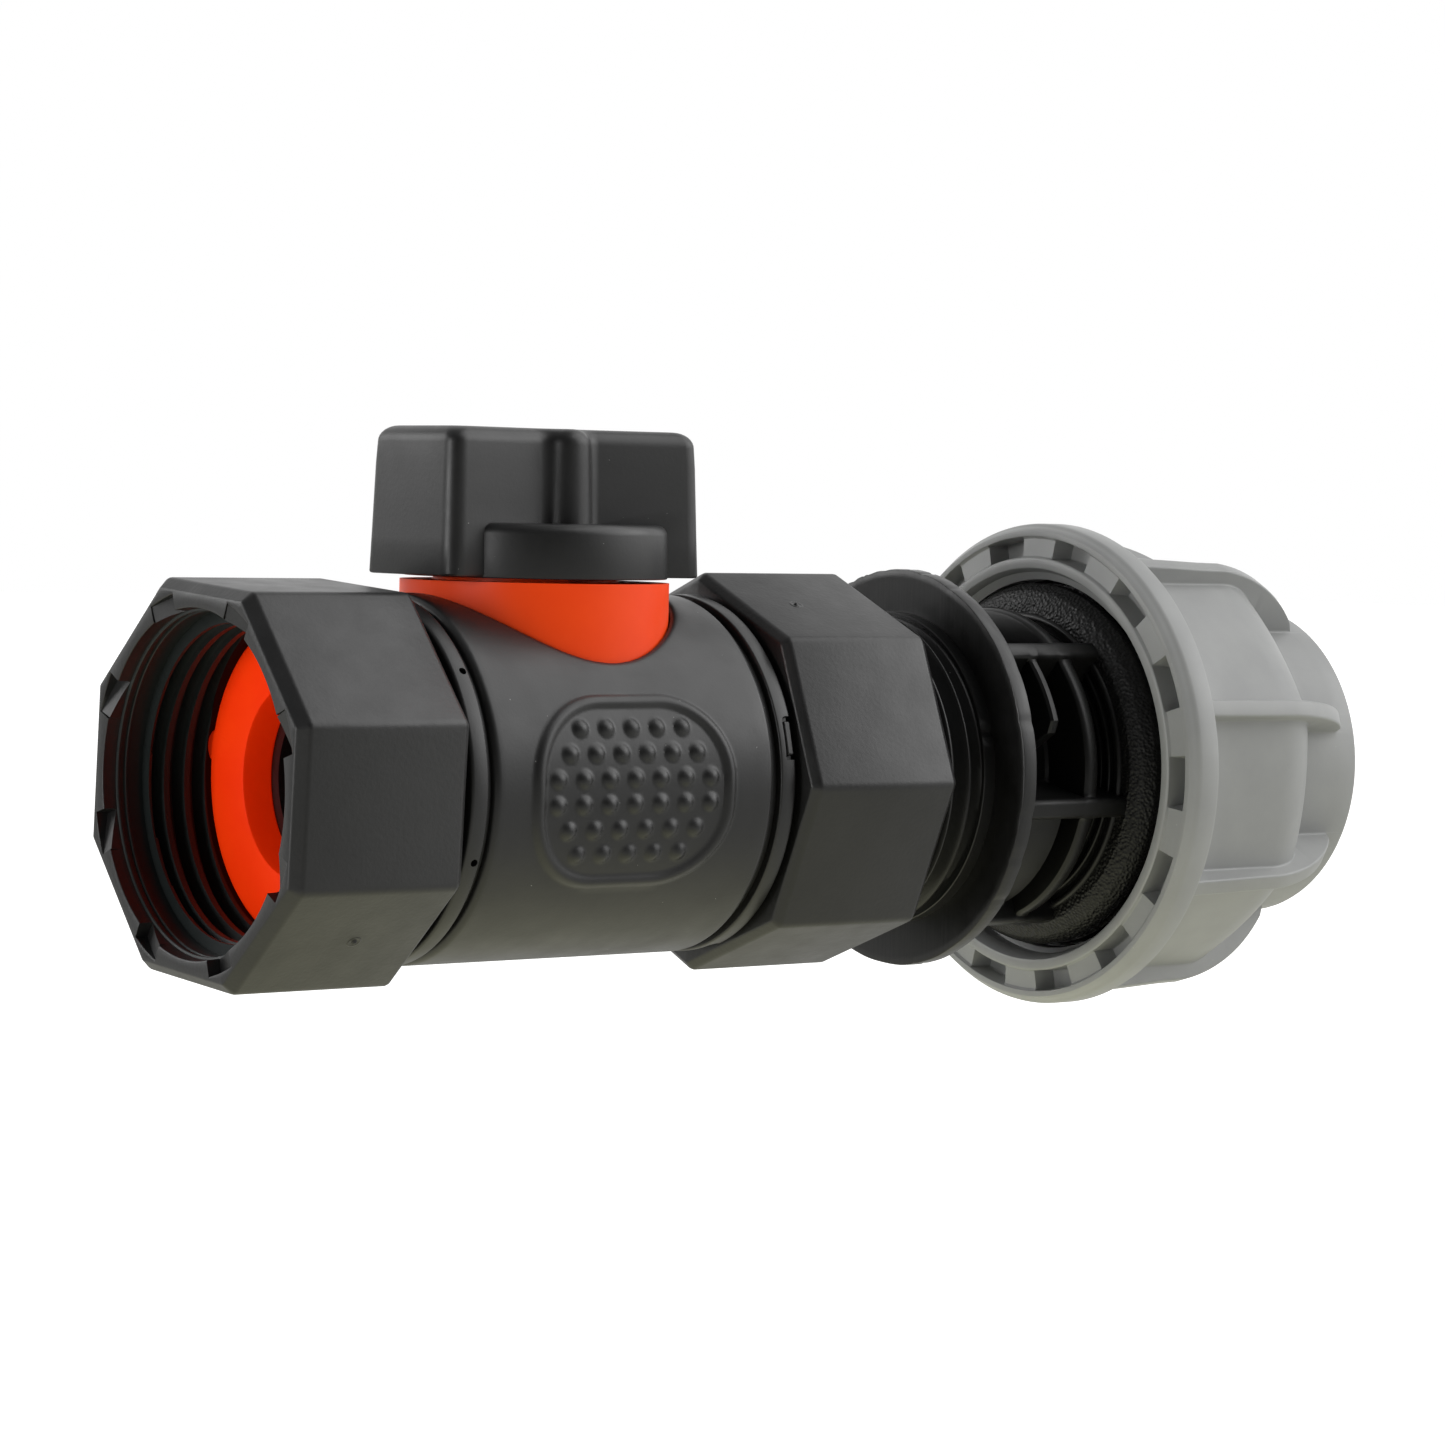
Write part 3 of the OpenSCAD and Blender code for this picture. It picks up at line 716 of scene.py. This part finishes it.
def washer(name, node, mirror_x):
    """Flat rubber washer with rounded rims and three holding nubs."""
    face = low_mm("inlet_washer")[0]
    back = high_mm("inlet_washer")[0] - 0.03
    place = placer(mirror_x)
    turns = list(np.arange(144) * 2.5)
    turns += [t + d for t in NUBS for d in (-NUB_REACH, -4.4, -1.2, 1.2, 4.4, NUB_REACH)]
    turns = np.array(sorted(turns))
    off = [(turns - t + 180) % 360 - 180 for t in NUBS]
    nub = np.max([np.clip(1 - (d / NUB_REACH) ** 2, 0, 1) ** 0.7 for d in off], axis=0)
    rings = []
    for x, r, share in ((face, 7.65, 0), (face, 11.9, 0.75), (face + 0.05, 12.15, 0.9), (face + 0.2, 12.33, 1),
                        (face + 0.45, 12.4, 1), (back - 0.9, 12.4, 1), (back - 0.3, 12.4, 0), (back, 12.2, 0),
                        (back, 7.5, 0), (back - 0.15, 7.4, 0), (face + 0.3, 7.4, 0), (face + 0.1, 7.46, 0)):
        rings.append(polar(place(x), r + NUB_HEIGHT * nub * share, turns))
    ring_piece(name, rings, "valve_body", "washer_orange", nodes=[node])


# ---- handle

HANDLE_TOP = high_mm("handle")[2]
HANDLE_BOTTOM = 15.8
HUB_BOTTOM = low_mm("handle")[2]
HUB_TOP = 19.95
HUB_R = 10.45
BAR_HALF_LENGTH = 12.15
BAR_HALF_WIDTH = 6.3
BAR_WAIST = 4.2
BAR_CORNER = 1.35
COLUMN_Y = 4.0
COLUMN_R = 2.15
COLUMN_FILLET = 1.0


def bar_outline(inset):
    """Outline of the waisted bar, drawn in by inset; every inset gives the same number of points."""
    slope = math.atan((BAR_HALF_WIDTH - BAR_WAIST) / BAR_HALF_LENGTH)
    end = BAR_HALF_LENGTH - inset
    waist = BAR_WAIST - inset / math.cos(slope)
    corner = max(BAR_CORNER - inset * 0.3, 0.25)
    column = COLUMN_R - inset
    fillet = COLUMN_FILLET + inset
    corner_x = end - corner
    corner_y = waist + corner_x * math.tan(slope) - corner / math.cos(slope)
    quarter = []
    for a in np.radians(np.linspace(0, 90, 9)):
        turn = a * (math.pi / 2 + slope) / (math.pi / 2)
        quarter.append((corner_x + corner * math.cos(turn), corner_y + corner * math.sin(turn)))
    rise = math.tan(slope)
    lift = waist + fillet / math.cos(slope) - COLUMN_Y
    aa = 1 + rise ** 2
    bb = 2 * rise * lift
    cc = lift ** 2 - (column + fillet) ** 2
    fx = (-bb + math.sqrt(bb ** 2 - 4 * aa * cc)) / (2 * aa)
    fy = COLUMN_Y + lift + rise * fx
    from_angle = -math.pi / 2 + slope
    to_angle = math.atan2(COLUMN_Y - fy, -fx)
    if to_angle > from_angle:
        to_angle -= 2 * math.pi
    for a in np.linspace(from_angle, to_angle, 8):
        quarter.append((fx + fillet * math.cos(a), fy + fillet * math.sin(a)))
    start = math.atan2(fy - COLUMN_Y, fx)
    for a in np.linspace(start, math.pi / 2, 9)[1:]:
        quarter.append((column * math.cos(a), COLUMN_Y + column * math.sin(a)))
    half = quarter + [(-x, y) for x, y in quarter[-2::-1]]
    return np.array(half + [(x, -y) for x, y in half[::-1]])


def handle():
    """Waisted bar on a round hub, hollow underneath as the real one is."""
    round_top = 1.25
    levels = [(HANDLE_BOTTOM, 0.18), (HANDLE_BOTTOM + 0.05, 0.05), (HANDLE_BOTTOM + 0.18, 0.0)]
    height = HANDLE_TOP - HANDLE_BOTTOM
    draft = 0.36
    levels += [(HANDLE_BOTTOM + height * t, draft * t) for t in (0.25, 0.5, 0.75)]
    for a in np.radians(np.linspace(0, 90, 9)):
        levels.append((HANDLE_TOP - round_top * (1 - math.sin(a)), draft + round_top * (1 - math.cos(a))))
    rings = []
    for z, inset in levels:
        outline = bar_outline(inset)
        rings.append(np.column_stack([STEM_X + outline[:, 0], outline[:, 1], np.full(len(outline), z)]))
    count = len(rings[0])
    faces = ring_faces(count, len(rings), closed=False)
    faces.append(tuple(range(count)))
    faces.append(tuple(range(len(rings) * count - 1, (len(rings) - 1) * count - 1, -1)))
    grip = finish_mesh("handle_bar", np.concatenate(rings), faces, "handle_stem", "handle_black", nodes=["handle"])
    around = np.arange(144) * 2.5
    hub_profile = rounded([(HUB_BOTTOM, HUB_R, 0.12), (HUB_TOP, HUB_R - 0.1, 0.85), (HUB_TOP, 0.01, 0),
                           (HUB_BOTTOM, 0.01, 0)])
    hub = tool_object("hub", np.concatenate([about_stem(z, r, around) for z, r in hub_profile]),
                       ring_faces(144, len(hub_profile)))
    apply_boolean(grip, hub, "UNION")
    cavity_profile = ((HUB_BOTTOM - 1, 0.01), (HUB_BOTTOM - 1, 8.4), (17.9, 8.4), (17.9, 0.01))
    cavity = [about_stem(z, r, around) for z, r in cavity_profile]
    apply_boolean(grip, tool_object("cavity", np.concatenate(cavity), ring_faces(144, 4)), "DIFFERENCE")
    half = 3.05
    square = [(STEM_X + x, y) for x, y in ((-half, -half), (half, -half), (half, half), (-half, half))]
    apply_boolean(grip, prism("socket", raised(square, 17), raised(square, 24.2)), "DIFFERENCE")
    reshade(grip, 28)


# ---- ribbed sections

def ribbed(x, base, rib_r, count, turn, thickness, foot=0.35, top=0.2, gap_steps=12):
    """Section across a ribbed part: base is its radius between ribs, or gives it for a turn; rib_r is the ribs'."""
    if not callable(base):
        level = base

        def base(_):
            return level
    half = thickness / 2
    lateral = []
    for a in np.radians([0, 30, 60, 90]):
        lateral.append(("foot", -(half + foot) + foot * math.sin(a), foot * (1 - math.cos(a))))
    for a in np.radians([0, 22.5, 45, 67.5, 90]):
        lateral.append(("top", -half + top * (1 - math.cos(a)), -top * (1 - math.sin(a))))
    lateral += [(kind, -s, h) for kind, s, h in lateral[::-1]]
    points = []
    for k in range(count):
        centre = turn + 360 / count * k
        following = centre + 360 / count
        alpha = math.radians(centre)
        out = np.array([-math.sin(alpha), math.cos(alpha)])
        side = np.array([-math.cos(alpha), -math.sin(alpha)])
        reach = half + foot
        for kind, s, h in lateral:
            r = base(centre + math.copysign(3, s))
            tall = rib_r - r
            on_base = math.sqrt(r ** 2 - s ** 2)
            scale = min(max(tall, 0) / 0.8, 1)
            if kind == "foot":
                height = on_base + h * scale
            else:
                height = on_base + max(tall, 0) + h * scale if tall > 0 else on_base
            point = height * out + s * side
            points.append((x, point[0], point[1]))
        r_next = base(following - 3)
        r_here = base(centre + 3)
        start = centre + math.degrees(math.asin(reach / r_here))
        end = following - math.degrees(math.asin(reach / r_next))
        for i in range(1, gap_steps):
            t = start + (end - start) * i / gap_steps
            points.append(tuple(polar(x, base(t), [t])[0]))
    return np.array(points)


# ---- adapter

CAGE = dict(count=6, turn=42, thickness=1.75, top=0.45)
CAGE_R = 13.9
TUBE_R = 8.6
WATER_R = 6.52
SOCKET_R = MOUNTS["pipe_socket"]["dims"]["r_mm"]
SHOULDER_X = SPIGOT_X + 29.05

# Station beyond the shoulder's face, radius and fillet of its corners, and of the lips on that face
SHOULDER = ((0, 13.05, 0), (0.1, 13.9, 0.2), (0.75, 14.9, 0.8), (1.7, 15.5, 0.6), (2.4, 15.5, 0), (2.4, 14.9, 0),
            (3.2, 14.9, 0), (3.2, 15.5, 0), (4.4, 15.5, 0), (4.6, 14.9, 0), (6.2, 14.9, 0), (6.4, 15.5, 0),
            (7.6, 15.5, 0), (7.8, 14.9, 0))
LIPS = ((0.1, 10.6, 0), (-0.32, 10.6, 0.15), (-0.32, 10.85, 0.1), (-0.05, 10.9, 0), (-0.05, 11.5, 0),
        (-0.4, 11.55, 0.2), (-0.4, 11.9, 0.2), (-0.02, 11.95, 0), (-0.02, 12.45, 0), (-0.32, 12.5, 0.1),
        (-0.32, 12.95, 0.25), (0.1, 13.02, 0))


def adapter_spigot():
    """Threaded spigot and its collar."""
    thread_start = SPIGOT_X + 0.6
    collar_x = SPIGOT_X + 13.95
    collar_end = SPIGOT_X + 15.1
    turns = np.arange(180) * 2.0
    nick = np.clip(1 - np.abs((turns - 74 + 180) % 360 - 180) / 2.6, 0, 1)

    def runs_out(x, r):
        entry = 11.6 + np.clip((x - thread_start) / 1.2, 0, 1) * 2
        leaving = 13.05 - np.clip((x - (collar_x - 0.9)) / 0.5, 0, 1) * 0.35
        return np.minimum(np.minimum(r, entry), leaving)

    rings = [polar(SPIGOT_X, WATER_R, turns), polar(SPIGOT_X, 11.5, turns)]
    thread = thread_rings(turns, male_thread, THREAD_PITCH, OUTLET_CREST_X, thread_start, collar_x, runs_out)
    first = len(rings)
    rings += thread
    helix = (first, len(rings) - 1, len(THREAD_MARKS))
    collar_r = 13.07 - 0.3 * nick
    collar = ((collar_x, 13.0), (collar_x + 0.06, collar_r), (collar_end, collar_r), (collar_end, WATER_R))
    rings += [polar(x, r, turns) for x, r in collar]
    helix_piece("adapter_spigot", rings, helix, turns, "adapter", "adapter_black", look="black_plastic")


def adapter_flange():
    """Thin disc with a bright edge and small nicks left by the mould."""
    front = SPIGOT_X + 15.1
    back = SPIGOT_X + 16.55
    chance = random.Random(5)
    turns = np.arange(360) * 1.0
    nicks = np.zeros_like(turns)
    for _ in range(26):
        centre, width, depth = chance.uniform(0, 360), chance.uniform(0.6, 2.4), chance.uniform(0.03, 0.12)
        nicks += depth * np.clip(1 - np.abs((turns - centre + 180) % 360 - 180) / width, 0, 1)
    waver = 0.02 * np.sin(np.radians(turns * 9)) + 0.015 * np.sin(np.radians(turns * 23 + 40))
    rim = 16.6 - nicks + waver
    outline = ((front, WATER_R), (front, 15.9), (front, rim - 0.12), (front + 0.05, rim - 0.03), (front + 0.16, rim),
               (back - 0.2, rim), (back - 0.06, rim - 0.05), (back, rim - 0.18), (back, WATER_R))
    rings = [polar(x, r, turns) for x, r in outline]
    ring_piece("adapter_flange", rings, "adapter", "adapter_black", look="machined_black")


def adapter_cage():
    """Open cage of ribs round the water tube, with its ring rib, half ring and raised pad."""
    start = SPIGOT_X + 16.55
    half_ring = SPIGOT_X + 21.35
    pad_end = SPIGOT_X + 23.65
    ring_rib = SPIGOT_X + 24.85

    def half_base(turn):
        along = (turn - 42) % 360
        if along > 60:
            return TUBE_R
        return TUBE_R + (CAGE_R - TUBE_R) * min(max((38 - along) / 7, 0), 1) ** 0.6

    def pad_base(turn):
        return 12.3 if 60 < (turn - 42) % 360 < 120 else TUBE_R

    def half_and_pad(drop):
        return lambda turn: max(half_base(turn) - drop, pad_base(turn))

    stations = [(start + 0.15, pad_base), (half_ring, pad_base)]
    for off, drop in ((0.02, 0.9), (0.12, 0.62), (0.34, 0.45), (0.78, 0.45), (1.0, 0.62), (1.1, 0.9)):
        stations.append((half_ring + off, half_and_pad(drop)))
    stations += [(half_ring + 1.12, pad_base), (pad_end, pad_base), (pad_end + 0.1, TUBE_R), (ring_rib - 0.4, TUBE_R),
                 (ring_rib - 0.12, TUBE_R + 0.2)]
    for off, drop in ((-0.06, 0.52), (0, 0.24), (0.16, 0.08), (0.4, 0), (1.0, 0), (1.24, 0.08), (1.4, 0.24),
                      (1.46, 0.52)):
        stations.append((ring_rib + off, CAGE_R - 0.5 - drop))
    stations += [(ring_rib + 1.52, TUBE_R + 0.2), (ring_rib + 1.8, TUBE_R), (SHOULDER_X - 0.2, TUBE_R),
                 (SHOULDER_X + 0.1, TUBE_R + 0.3)]
    ends = [ribbed(x, WATER_R, WATER_R + 0.08, **CAGE) for x in (start, SHOULDER_X + 0.1)]
    foot = ribbed(start, TUBE_R + 0.3, CAGE_R + 0.1, **CAGE)
    rings = [ends[0], foot] + [ribbed(x, base, CAGE_R, **CAGE) for x, base in stations] + [ends[1]]
    ring_piece("adapter_cage", rings, "adapter", "adapter_black", sharp=30, nodes=["adapter_body"])


def adapter_shoulder():
    """Leather-textured shoulder, the compression screw behind it and the pipe socket inside."""
    x = SHOULDER_X
    socket = SPIGOT_X + 30.05
    lips = [(x + beyond, r, fillet) for beyond, r, fillet in LIPS]
    lathe("shoulder_lips", lips, "adapter", "adapter_black", steps=200)
    profile = [(x, WATER_R, 0)] + [(x + beyond, r, fillet) for beyond, r, fillet in SHOULDER]
    profile += [(ADAPTER_END, 14.6, 0.2), (ADAPTER_END, 13.2, 0), (socket + 4.6, 13.2, 0),
                (socket + 4.6, SOCKET_R, 0.2), (socket, SOCKET_R, 0), (socket, WATER_R, 0)]
    lathe("adapter_shoulder", profile, "adapter", "adapter_black", steps=200, look="leather_black")


# ---- compression nut

NUT_RIBS = dict(count=8, turn=28.4, thickness=1.45)
BODY_R = 18.6
NOSE_R = 13.55
SHOULDER_BEND_R = 5.7
RIB_BEND_R = 17.4
RIB_BEND_LIFT = 2.38


def compression_body():
    """Grey body with its ribs, round shoulder and nose, hollow for the grip ring and the pipe."""
    start = RIM_X + 3.0
    body_end = RIM_X + 13.5

    def panel(r, sag):
        """Section that is a little flatter between the ribs than a circle."""
        def radius(turn):
            across = ((turn - NUT_RIBS["turn"]) % 45 - 22.5) / 22.5
            return r - sag * (1 - across ** 2)
        return radius

    stations = [(start, 16.4, 16.45), (start, panel(BODY_R + 0.35, 0.8), 20.05),
                (start + 0.35, panel(BODY_R + 0.05, 0.85), 20.05), (start + 0.7, panel(BODY_R - 0.07, 0.85), 20.03),
                (start + 4, panel(BODY_R - 0.08, 0.85), 19.9), (start + 8, panel(BODY_R - 0.1, 0.85), 19.7)]
    bend_x = body_end - 2.2
    for angle in (0, 8, 16, 24, 32, 40, 48, 56, 64, 72, 80, 86):
        a = math.radians(angle)
        x = body_end + SHOULDER_BEND_R * math.sin(a)
        base = BODY_R - SHOULDER_BEND_R + SHOULDER_BEND_R * math.cos(a) - 0.1
        stations.append((x, panel(base, 0.85 * math.cos(a)), rib_top(x - bend_x)))
    nose_start = body_end + 5.75
    stations.append((nose_start, NOSE_R + 0.12, rib_top(nose_start - bend_x)))
    for x in np.linspace(nose_start + 0.25, body_end + 10.3, 8):
        stations.append((x, NOSE_R, rib_top(x - bend_x)))
    last = body_end + 10.62
    stations += [(body_end + 10.5, NOSE_R, 14.05), (last, NOSE_R, 13.75), (last + 0.05, NOSE_R, NOSE_R),
                 (NOSE_END - 0.4, NOSE_R, NOSE_R), (NOSE_END - 0.12, NOSE_R - 0.1, 13), (NOSE_END, NOSE_R - 0.4, 13)]
    stations += [(x, r, 10) for x, r in ((NOSE_END, 10.9), (NOSE_END - 0.1, 10.68), (NOSE_END - 0.35, 10.6),
                                         (RIM_X + 20, 10.6), (RIM_X + 20, 12.05), (RIM_X + 13.8, 14.55),
                                         (RIM_X + 13, 16.35))]
    rings = [ribbed(x, base, rib_r, foot=0.22, top=0.2, gap_steps=14, **NUT_RIBS) for x, base, rib_r in stations]
    ring_piece("compression_nut_body", rings, "compression", "nut_grey", sharp=30, nodes=["compression_nut"])


def rib_top(beyond):
    """Radius of a grip rib's bent back, at a distance beyond the centre of its bend."""
    return RIB_BEND_R * math.cos(math.asin(beyond / RIB_BEND_R)) + RIB_BEND_LIFT


def compression_rim():
    """Grey rim with its moulded channel of blocks and pockets, and the thread inside."""
    pockets = 14
    pitch = 360 / pockets
    turns = []
    for k in range(pockets):
        base = 1.5 + pitch * k
        turns += [base + t for t in (-6.0, -4.5, -3, -1.5, 0, 1.5, 3, 4.5, 6.0, 6.3, 6.6, 6.9, 8, 10, 12, 14, 16, 17.7,
                                     18.8, 19.1, 19.4)]
    turns = np.array(turns)
    across = (turns - 1.5 + pitch / 2) % pitch - pitch / 2
    hollow = np.clip((np.abs(across) - 6.15) / 0.6, 0, 1)
    depth = 0.3 + 1.9 * hollow
    x = RIM_X
    lead_in = ((0.75, 16.5), (0.25, 16.7), (0.07, 16.85), (0, 17.05), (0, 17.55), (0.05, 17.68))
    channel = ((0.12, 17.74), (depth - 0.08, 17.78 + 0.03 * hollow), (depth, 17.86 + 0.03 * hollow),
               (depth + 0.15, 19.34), (depth + 0.06, 19.44), (0.32, 19.5))
    outside = ((0.22, 19.56), (0.2, 19.7), (0.24, 20.0), (0.35, 20.12), (0.62, 20.3), (0.78, 20.36), (0.9, 20.48),
               (1.05, RIM_R - 0.06), (1.25, RIM_R - 0.01), (2.85, RIM_R - 0.01), (3.08, RIM_R - 0.1),
               (3.2, RIM_R - 0.32), (3.2, 16.9))
    rings = [polar(x + beyond, r, turns) for beyond, r in lead_in + channel + outside]
    rings.append(polar(x + 13.1, 16.9, turns))
    thread = thread_rings(turns, coarse_thread, COARSE_PITCH, x + 1.4, x + 1.2, x + 12)
    rings.append(polar(x + 13.1, 16.36, turns))
    first = len(rings)
    rings += thread[::-1]
    helix = (first, len(rings) - 1, -len(THREAD_MARKS))
    helix_piece("compression_nut_rim", rings, helix, turns, "compression", "nut_grey", sharp=30)


# ---- small marks

GATE_R = 0.4


def gate_mark(name, body, x, turn):
    """Shallow ring and torn nub on a nut's flat, where the plastic entered the mould."""
    chance = random.Random(len(name) * 7)
    angles = np.arange(24) * 2 * math.pi / 24
    rings = []
    for r, h in ((0.01, -0.1), (GATE_R * 1.6, -0.1), (GATE_R * 1.6, -0.03), (GATE_R * 1.45, 0.02),
                 (GATE_R * 1.2, 0.045), (GATE_R, 0.02), (GATE_R * 0.62, 0.012), (GATE_R * 0.42, 0.1),
                 (GATE_R * 0.2, 0.17), (0.01, 0.18)):
        torn = r < GATE_R * 0.6 and h > 0
        rough = [chance.uniform(0.8, 1.2) if torn else 1.0 for _ in angles]
        ring = [(x + r * k * math.cos(a), r * k * math.sin(a), APOTHEM + h) for a, k in zip(angles, rough)]
        rings.append(spun(ring, turn))
    ring_piece(name, rings, body, "nut_black", closed=False)


# ---- camera, light and floor

def camera():
    """Long lens, turned 37.5 degrees from square on and tipped down by under 3 degrees."""
    data = bpy.data.cameras.new("camera")
    data.lens = 110.75
    data.sensor_width = 36
    data.clip_end = 100
    eye = bpy.data.objects.new("camera", data)
    heading, dip, roll = (math.radians(a) for a in (37.524, 2.864, 1.262))
    look = Matrix.Rotation(-heading, 4, "Z") @ Matrix.Rotation(math.pi / 2 - dip, 4, "X")
    look = look @ Matrix.Rotation(roll, 4, "Z")
    eye.matrix_world = Matrix.Translation((-0.17199, -0.28658, 0.02205)) @ look
    bpy.context.scene.collection.objects.link(eye)
    bpy.context.scene.camera = eye


def softbox(name, place, target, size, power):
    """Square area light turned towards a target, unseen by the camera."""
    data = bpy.data.lights.new(name, "AREA")
    data.shape = "RECTANGLE"
    data.size = size
    data.size_y = size
    data.energy = power
    lamp = bpy.data.objects.new(name, data)
    lamp.location = place
    lamp.rotation_euler = (Vector(target) - Vector(place)).to_track_quat("-Z", "Y").to_euler()
    lamp.visible_camera = False
    bpy.context.scene.collection.objects.link(lamp)


# Centre, cosines where it begins and is whole, and change of level: bright to the right, dark round the camera
SKY_LOBES = (((0.86, -0.5, 0.1), 0.78, 0.98, 1.4), ((-0.87, -0.45, 0.15), 0.35, 0.85, -0.27))


def sky_lobe(tree, toward, centre, wide, narrow, outside, inside):
    """Level that goes from outside to inside as the direction nears a centre."""
    near = tree.nodes.new("ShaderNodeVectorMath")
    near.operation = "DOT_PRODUCT"
    near.inputs[1].default_value = Vector(centre).normalized()
    tree.links.new(toward, near.inputs[0])
    level = tree.nodes.new("ShaderNodeMapRange")
    level.interpolation_type = "SMOOTHSTEP"
    for key, value in (("From Min", wide), ("From Max", narrow), ("To Min", outside), ("To Max", inside)):
        level.inputs[key].default_value = value
    tree.links.new(near.outputs["Value"], level.inputs["Value"])
    return level.outputs["Result"]


def sky_sum(tree, first, second):
    """Sum of two levels."""
    total = tree.nodes.new("ShaderNodeMath")
    total.operation = "ADD"
    tree.links.new(first, total.inputs[0])
    tree.links.new(second, total.inputs[1])
    return total.outputs["Value"]


def studio():
    """Studio with a white backdrop and floor, dark behind the camera, and soft boxes round the valve."""
    scene = bpy.context.scene
    scene.view_settings.view_transform = "Standard"
    world = bpy.data.worlds.new("studio")
    world.use_nodes = True
    tree = world.node_tree
    background = tree.nodes["Background"]
    background.inputs["Color"].default_value = (1, 1, 1, 1)
    toward = tree.nodes.new("ShaderNodeTexCoord").outputs["Generated"]
    level = sky_lobe(tree, toward, (0.62, 0.78, 0.15), 0.35, 0.85, 0.3, 1.1)
    for centre, wide, narrow, inside in SKY_LOBES:
        level = sky_sum(tree, level, sky_lobe(tree, toward, centre, wide, narrow, 0, inside))
    seen = tree.nodes.new("ShaderNodeLightPath").outputs["Is Camera Ray"]
    shown = tree.nodes.new("ShaderNodeMix")
    tree.links.new(seen, shown.inputs["Factor"])
    tree.links.new(level, shown.inputs[2])
    shown.inputs[3].default_value = 1.0
    tree.links.new(shown.outputs[0], background.inputs["Strength"])
    scene.world = world
    centre = (STEM_X * MM, 0, 0)
    softbox("key_box", (0.67, -0.44, 0.72), centre, 1.1, 8.4)
    softbox("left_box", (-0.55, 0.76, 0.36), centre, 0.5, 3.0)
    softbox("front_box", (-0.99, -0.04, 0.14), (0, 0, 0), 0.4, 4.6)
    mesh = bpy.data.meshes.new("floor")
    size, drop = 6.0, -0.15
    corners = [(-size, -size, drop), (size, -size, drop), (size, size, drop), (-size, size, drop)]
    mesh.from_pydata(corners, [], [(0, 1, 2, 3)])
    floor = bpy.data.objects.new("floor", mesh)
    n = Nodes("floor_paper")
    n.link(n.mix(n.noise(40, 4), (0.55, 0.55, 0.53), (0.58, 0.58, 0.56)), n.shader.inputs["Base Color"])
    n.shader.inputs["Roughness"].default_value = 0.85
    seen = n.add("ShaderNodeLightPath").outputs["Is Camera Ray"]
    away = n.add("ShaderNodeVectorMath", operation="LENGTH")
    n.link(n.place, away.inputs[0])
    glow = n.mix(n.spread(away.outputs["Value"], 0.17, 0.3, 0, 1), (0.52, 0.51, 0.24), (0.1, 0.1, 0.1))
    n.link(n.mix(seen, glow, (1.0, 1.0, 1.0)), n.shader.inputs["Emission Color"])
    n.shader.inputs["Emission Strength"].default_value = 1
    mesh.materials.append(n.material)
    scene.collection.objects.link(floor)


# ---- the valve

# Station of a thread crest at turn 0, for the inlet nut and for the outlet nut with its adapter
INLET_CREST_X = 0.11
OUTLET_CREST_X = OUTLET_MOUTH - 7.0

# Turns of the nuts' corners, as they stand in the photo
INLET_TURN = 26.06
OUTLET_TURN = 0.94

# CAD pieces that show as they are, in their slots' looks
KEPT_NODES = ("valve_core", "inlet_tailpiece", "outlet_tailpiece", "inlet_tail_o_ring", "outlet_tail_o_ring",
              "inlet_seat", "outlet_seat", "ball", "stem", "stem_o_ring_lower", "stem_o_ring_upper", "pipe_o_ring",
              "thrust_ring", "grip_ring")
SLOTS = {part["node"]: part["material_slot"] for part in frame["record"]["subparts"]}

camera()
studio()
for node in KEPT_NODES:
    looks = frame["nodes"][node].data.materials
    looks.clear()
    looks.append(LOOK[SLOTS[node]])
swivel_nut("inlet_nut_moulding", "inlet_nut", "inlet_swivel", INLET_MOUTH, 1, INLET_TURN, INLET_CREST_X)
swivel_nut("outlet_nut_moulding", "outlet_nut", "outlet_swivel", OUTLET_MOUTH, -1, OUTLET_TURN, OUTLET_CREST_X)
barrel_sleeve()
collars()
washer("inlet_washer_rubber", "inlet_washer", False)
washer("outlet_washer_rubber", "outlet_washer", True)
handle()
adapter_spigot()
adapter_flange()
adapter_cage()
adapter_shoulder()
compression_body()
compression_rim()
gate_mark("inlet_gate", "inlet_swivel", 6.5, 138.56)
gate_mark("outlet_gate", "outlet_swivel", 50.75, 23.44)
